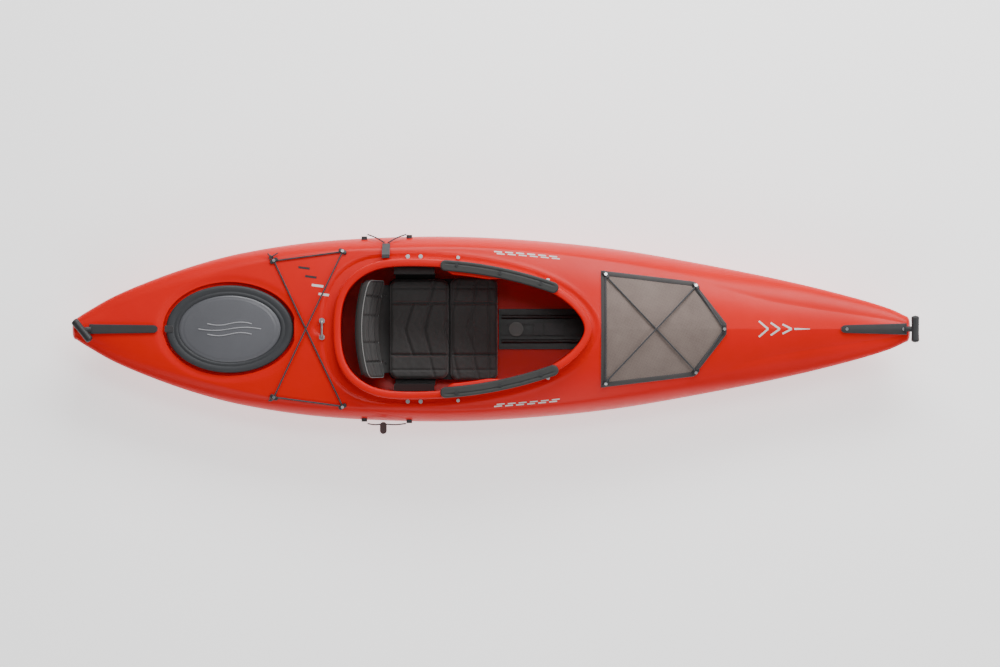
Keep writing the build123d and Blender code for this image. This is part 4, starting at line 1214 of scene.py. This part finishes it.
def make_grips():
    """The end grips as one smooth, slightly waisted handle each, over its flat neck."""
    rings, sides = 33, 28
    for name, node, body, centre, turn, neck_x in GRIPS:
        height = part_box(node)[1].z - GRIP_RADIUS
        verts = []
        for i in range(rings):
            s = -1 + 2 * i / (rings - 1)
            end = sqrt_safe(1 - max(abs(s) - 0.80, 0) ** 2 / 0.04)
            size = GRIP_RADIUS * (0.90 + 0.10 * s * s) * end + GRIP_RIDGE * cos(s * 60) * (abs(s) < 0.55)
            for a in (2 * pi * j / sides for j in range(sides)):
                across, up = size * cos(a), size * 0.92 * sin(a)
                x = centre[0] + across * cos(turn) - s * GRIP_HALF * sin(turn)
                y = centre[1] + across * sin(turn) + s * GRIP_HALF * cos(turn)
                verts.append((x, y, height + up))
        bar = (verts, grid_faces(rings, sides, wrap_columns=True))
        verts, faces = join_parts([bar, neck_block(neck_x, centre, height - 0.010)])
        grip = outward_facing(piece(name, verts, faces, BLACK, body))
        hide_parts(node)


def sqrt_safe(value):
    return max(value, 0.0) ** 0.5


def neck_block(x, centre, z):
    """A flat tongue of webbing from the strap's last bolt to the bar."""
    upper = [(-0.012, 0.0015), (-0.011, 0.0025), (0.011, 0.0025), (0.012, 0.0015)]
    outline = upper + [(a, -b) for a, b in reversed(upper)]
    verts, steps = [], 10
    for i in range(steps + 1):
        s = i / steps
        px, py = x + (centre[0] - x) * s, centre[1] * s
        narrow, thick = 0.75 + 0.25 * s, min(0.5 + 2 * s, 1.0)
        rise = 0.003 * sin(pi * s) + 0.006 * s
        verts += [(px, py + a * narrow, z + b * thick + rise) for a, b in outline]
    columns = len(outline)
    return verts, grid_faces(steps + 1, columns, wrap_columns=True) + [tuple(range(columns))]


KNOT_LIFT = 0.006
# Cord knots: place on the deck and the reach of each loose tail
KNOTS = (
    ("stern_knot", (-0.840, 0.274), ((-0.012, 0.014), (0.026, 0.016))),
    ("mesh_knot_port", (0.432, 0.214), ((-0.010, 0.006),)),
    ("mesh_knot_starboard", (0.432, -0.214), ((-0.010, -0.006),)),
    ("stern_knot_starboard", (-0.838, -0.268), ((-0.010, -0.006),)),
)


def make_knots():
    for name, (x, y), tails in KNOTS:
        knot(name, x, y, deck_z(x, y) + KNOT_LIFT, tails)


make_hull()
make_seat()
make_seat_stitches()
make_back()
make_shade_cloth()
make_thigh_pads()
make_hatch()
make_marks()
make_mesh_panel()
make_straps()
make_pull_tab()
make_stitches()
make_grips()
make_knots()


# Materials on the CAD nodes, by the ends of their names. The first match counts.
NODE_MATERIALS = (
    (STEEL, ("_bolts", "_pin", "_pins", "security_bar")),
    (CORD, ("_bungee", "_cord")),
    (SATIN, ("leg_lifter_plate", "backrest_shell", "floor_spine", "spine_rails")),
    (PAN_AND_SHADE, ("seat_base", "_seat_hanger")),
    (ALUMINIUM, ("_foot_rail",)),
    (GREY_FOAM, ("stern_bulkhead",)),
    (HOOK, ("starboard_keeper_hook",)),
    (BOSS, ("spine_boss",)),
    (BLACK, ("",)),
)
for name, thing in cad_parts.items():
    thing.data.materials.clear()
    thing.data.materials.append(next(material for material, ends in NODE_MATERIALS if name.endswith(ends)))


# Camera, lights and floor
VIEW_WIDTH, VIEW_CENTRE = 3.8186, (0.0344, -0.0172)
CAMERA_HEIGHT, DECK_LEVEL = 16.0, 0.25
SENSOR = 36.0
FLOOR = 60.0


def make_camera():
    data = bpy.data.cameras.new("camera")
    data.sensor_width = SENSOR
    data.lens = SENSOR * (CAMERA_HEIGHT - DECK_LEVEL) / VIEW_WIDTH
    data.clip_end = 100
    camera = add_object("camera", data)
    camera.location = (*VIEW_CENTRE, CAMERA_HEIGHT)
    bpy.context.scene.camera = camera


def make_light(name, place, size, power, aim=(0, 0, 0.2)):
    data = bpy.data.lights.new(name, "AREA")
    data.shape = "RECTANGLE"
    data.size, data.size_y = size
    data.energy = power
    light = add_object(name, data)
    light.location = place
    light.rotation_euler = (Vector(aim) - Vector(place)).to_track_quat("-Z", "Y").to_euler()


def make_stage():
    mesh = bpy.data.meshes.new("floor")
    corners = [(x * FLOOR, y * FLOOR, 0) for x, y in ((-1, -1), (1, -1), (1, 1), (-1, 1))]
    mesh.from_pydata(corners, [], [(0, 1, 2, 3)])
    floor = add_object("floor", mesh)
    material, _, shader = new_material("pale_floor", (0.95, 0.95, 0.95), 0.9)
    shader.inputs["Emission Color"].default_value = (1, 1, 1, 1)
    shader.inputs["Emission Strength"].default_value = 0.9
    mesh.materials.append(material)
    world = bpy.data.worlds.new("studio")
    world.use_nodes = True
    sky = world.node_tree.nodes["Background"].inputs
    sky["Color"].default_value = (1, 1, 1, 1)
    sky["Strength"].default_value = 0.28
    bpy.context.scene.world = world


make_camera()
make_stage()
make_light("key", (0.8, 4.2, 3.2), (5.0, 2.0), 330)
make_light("fill", (-0.5, -4.4, 3.4), (5.0, 2.0), 80)
make_light("bow", (4.6, 0.8, 2.6), (2.0, 2.0), 60)
make_light("over", (0.5, 1.3, 5.0), (2.5, 1.0), 55, aim=(0.1, 0, 0.1))
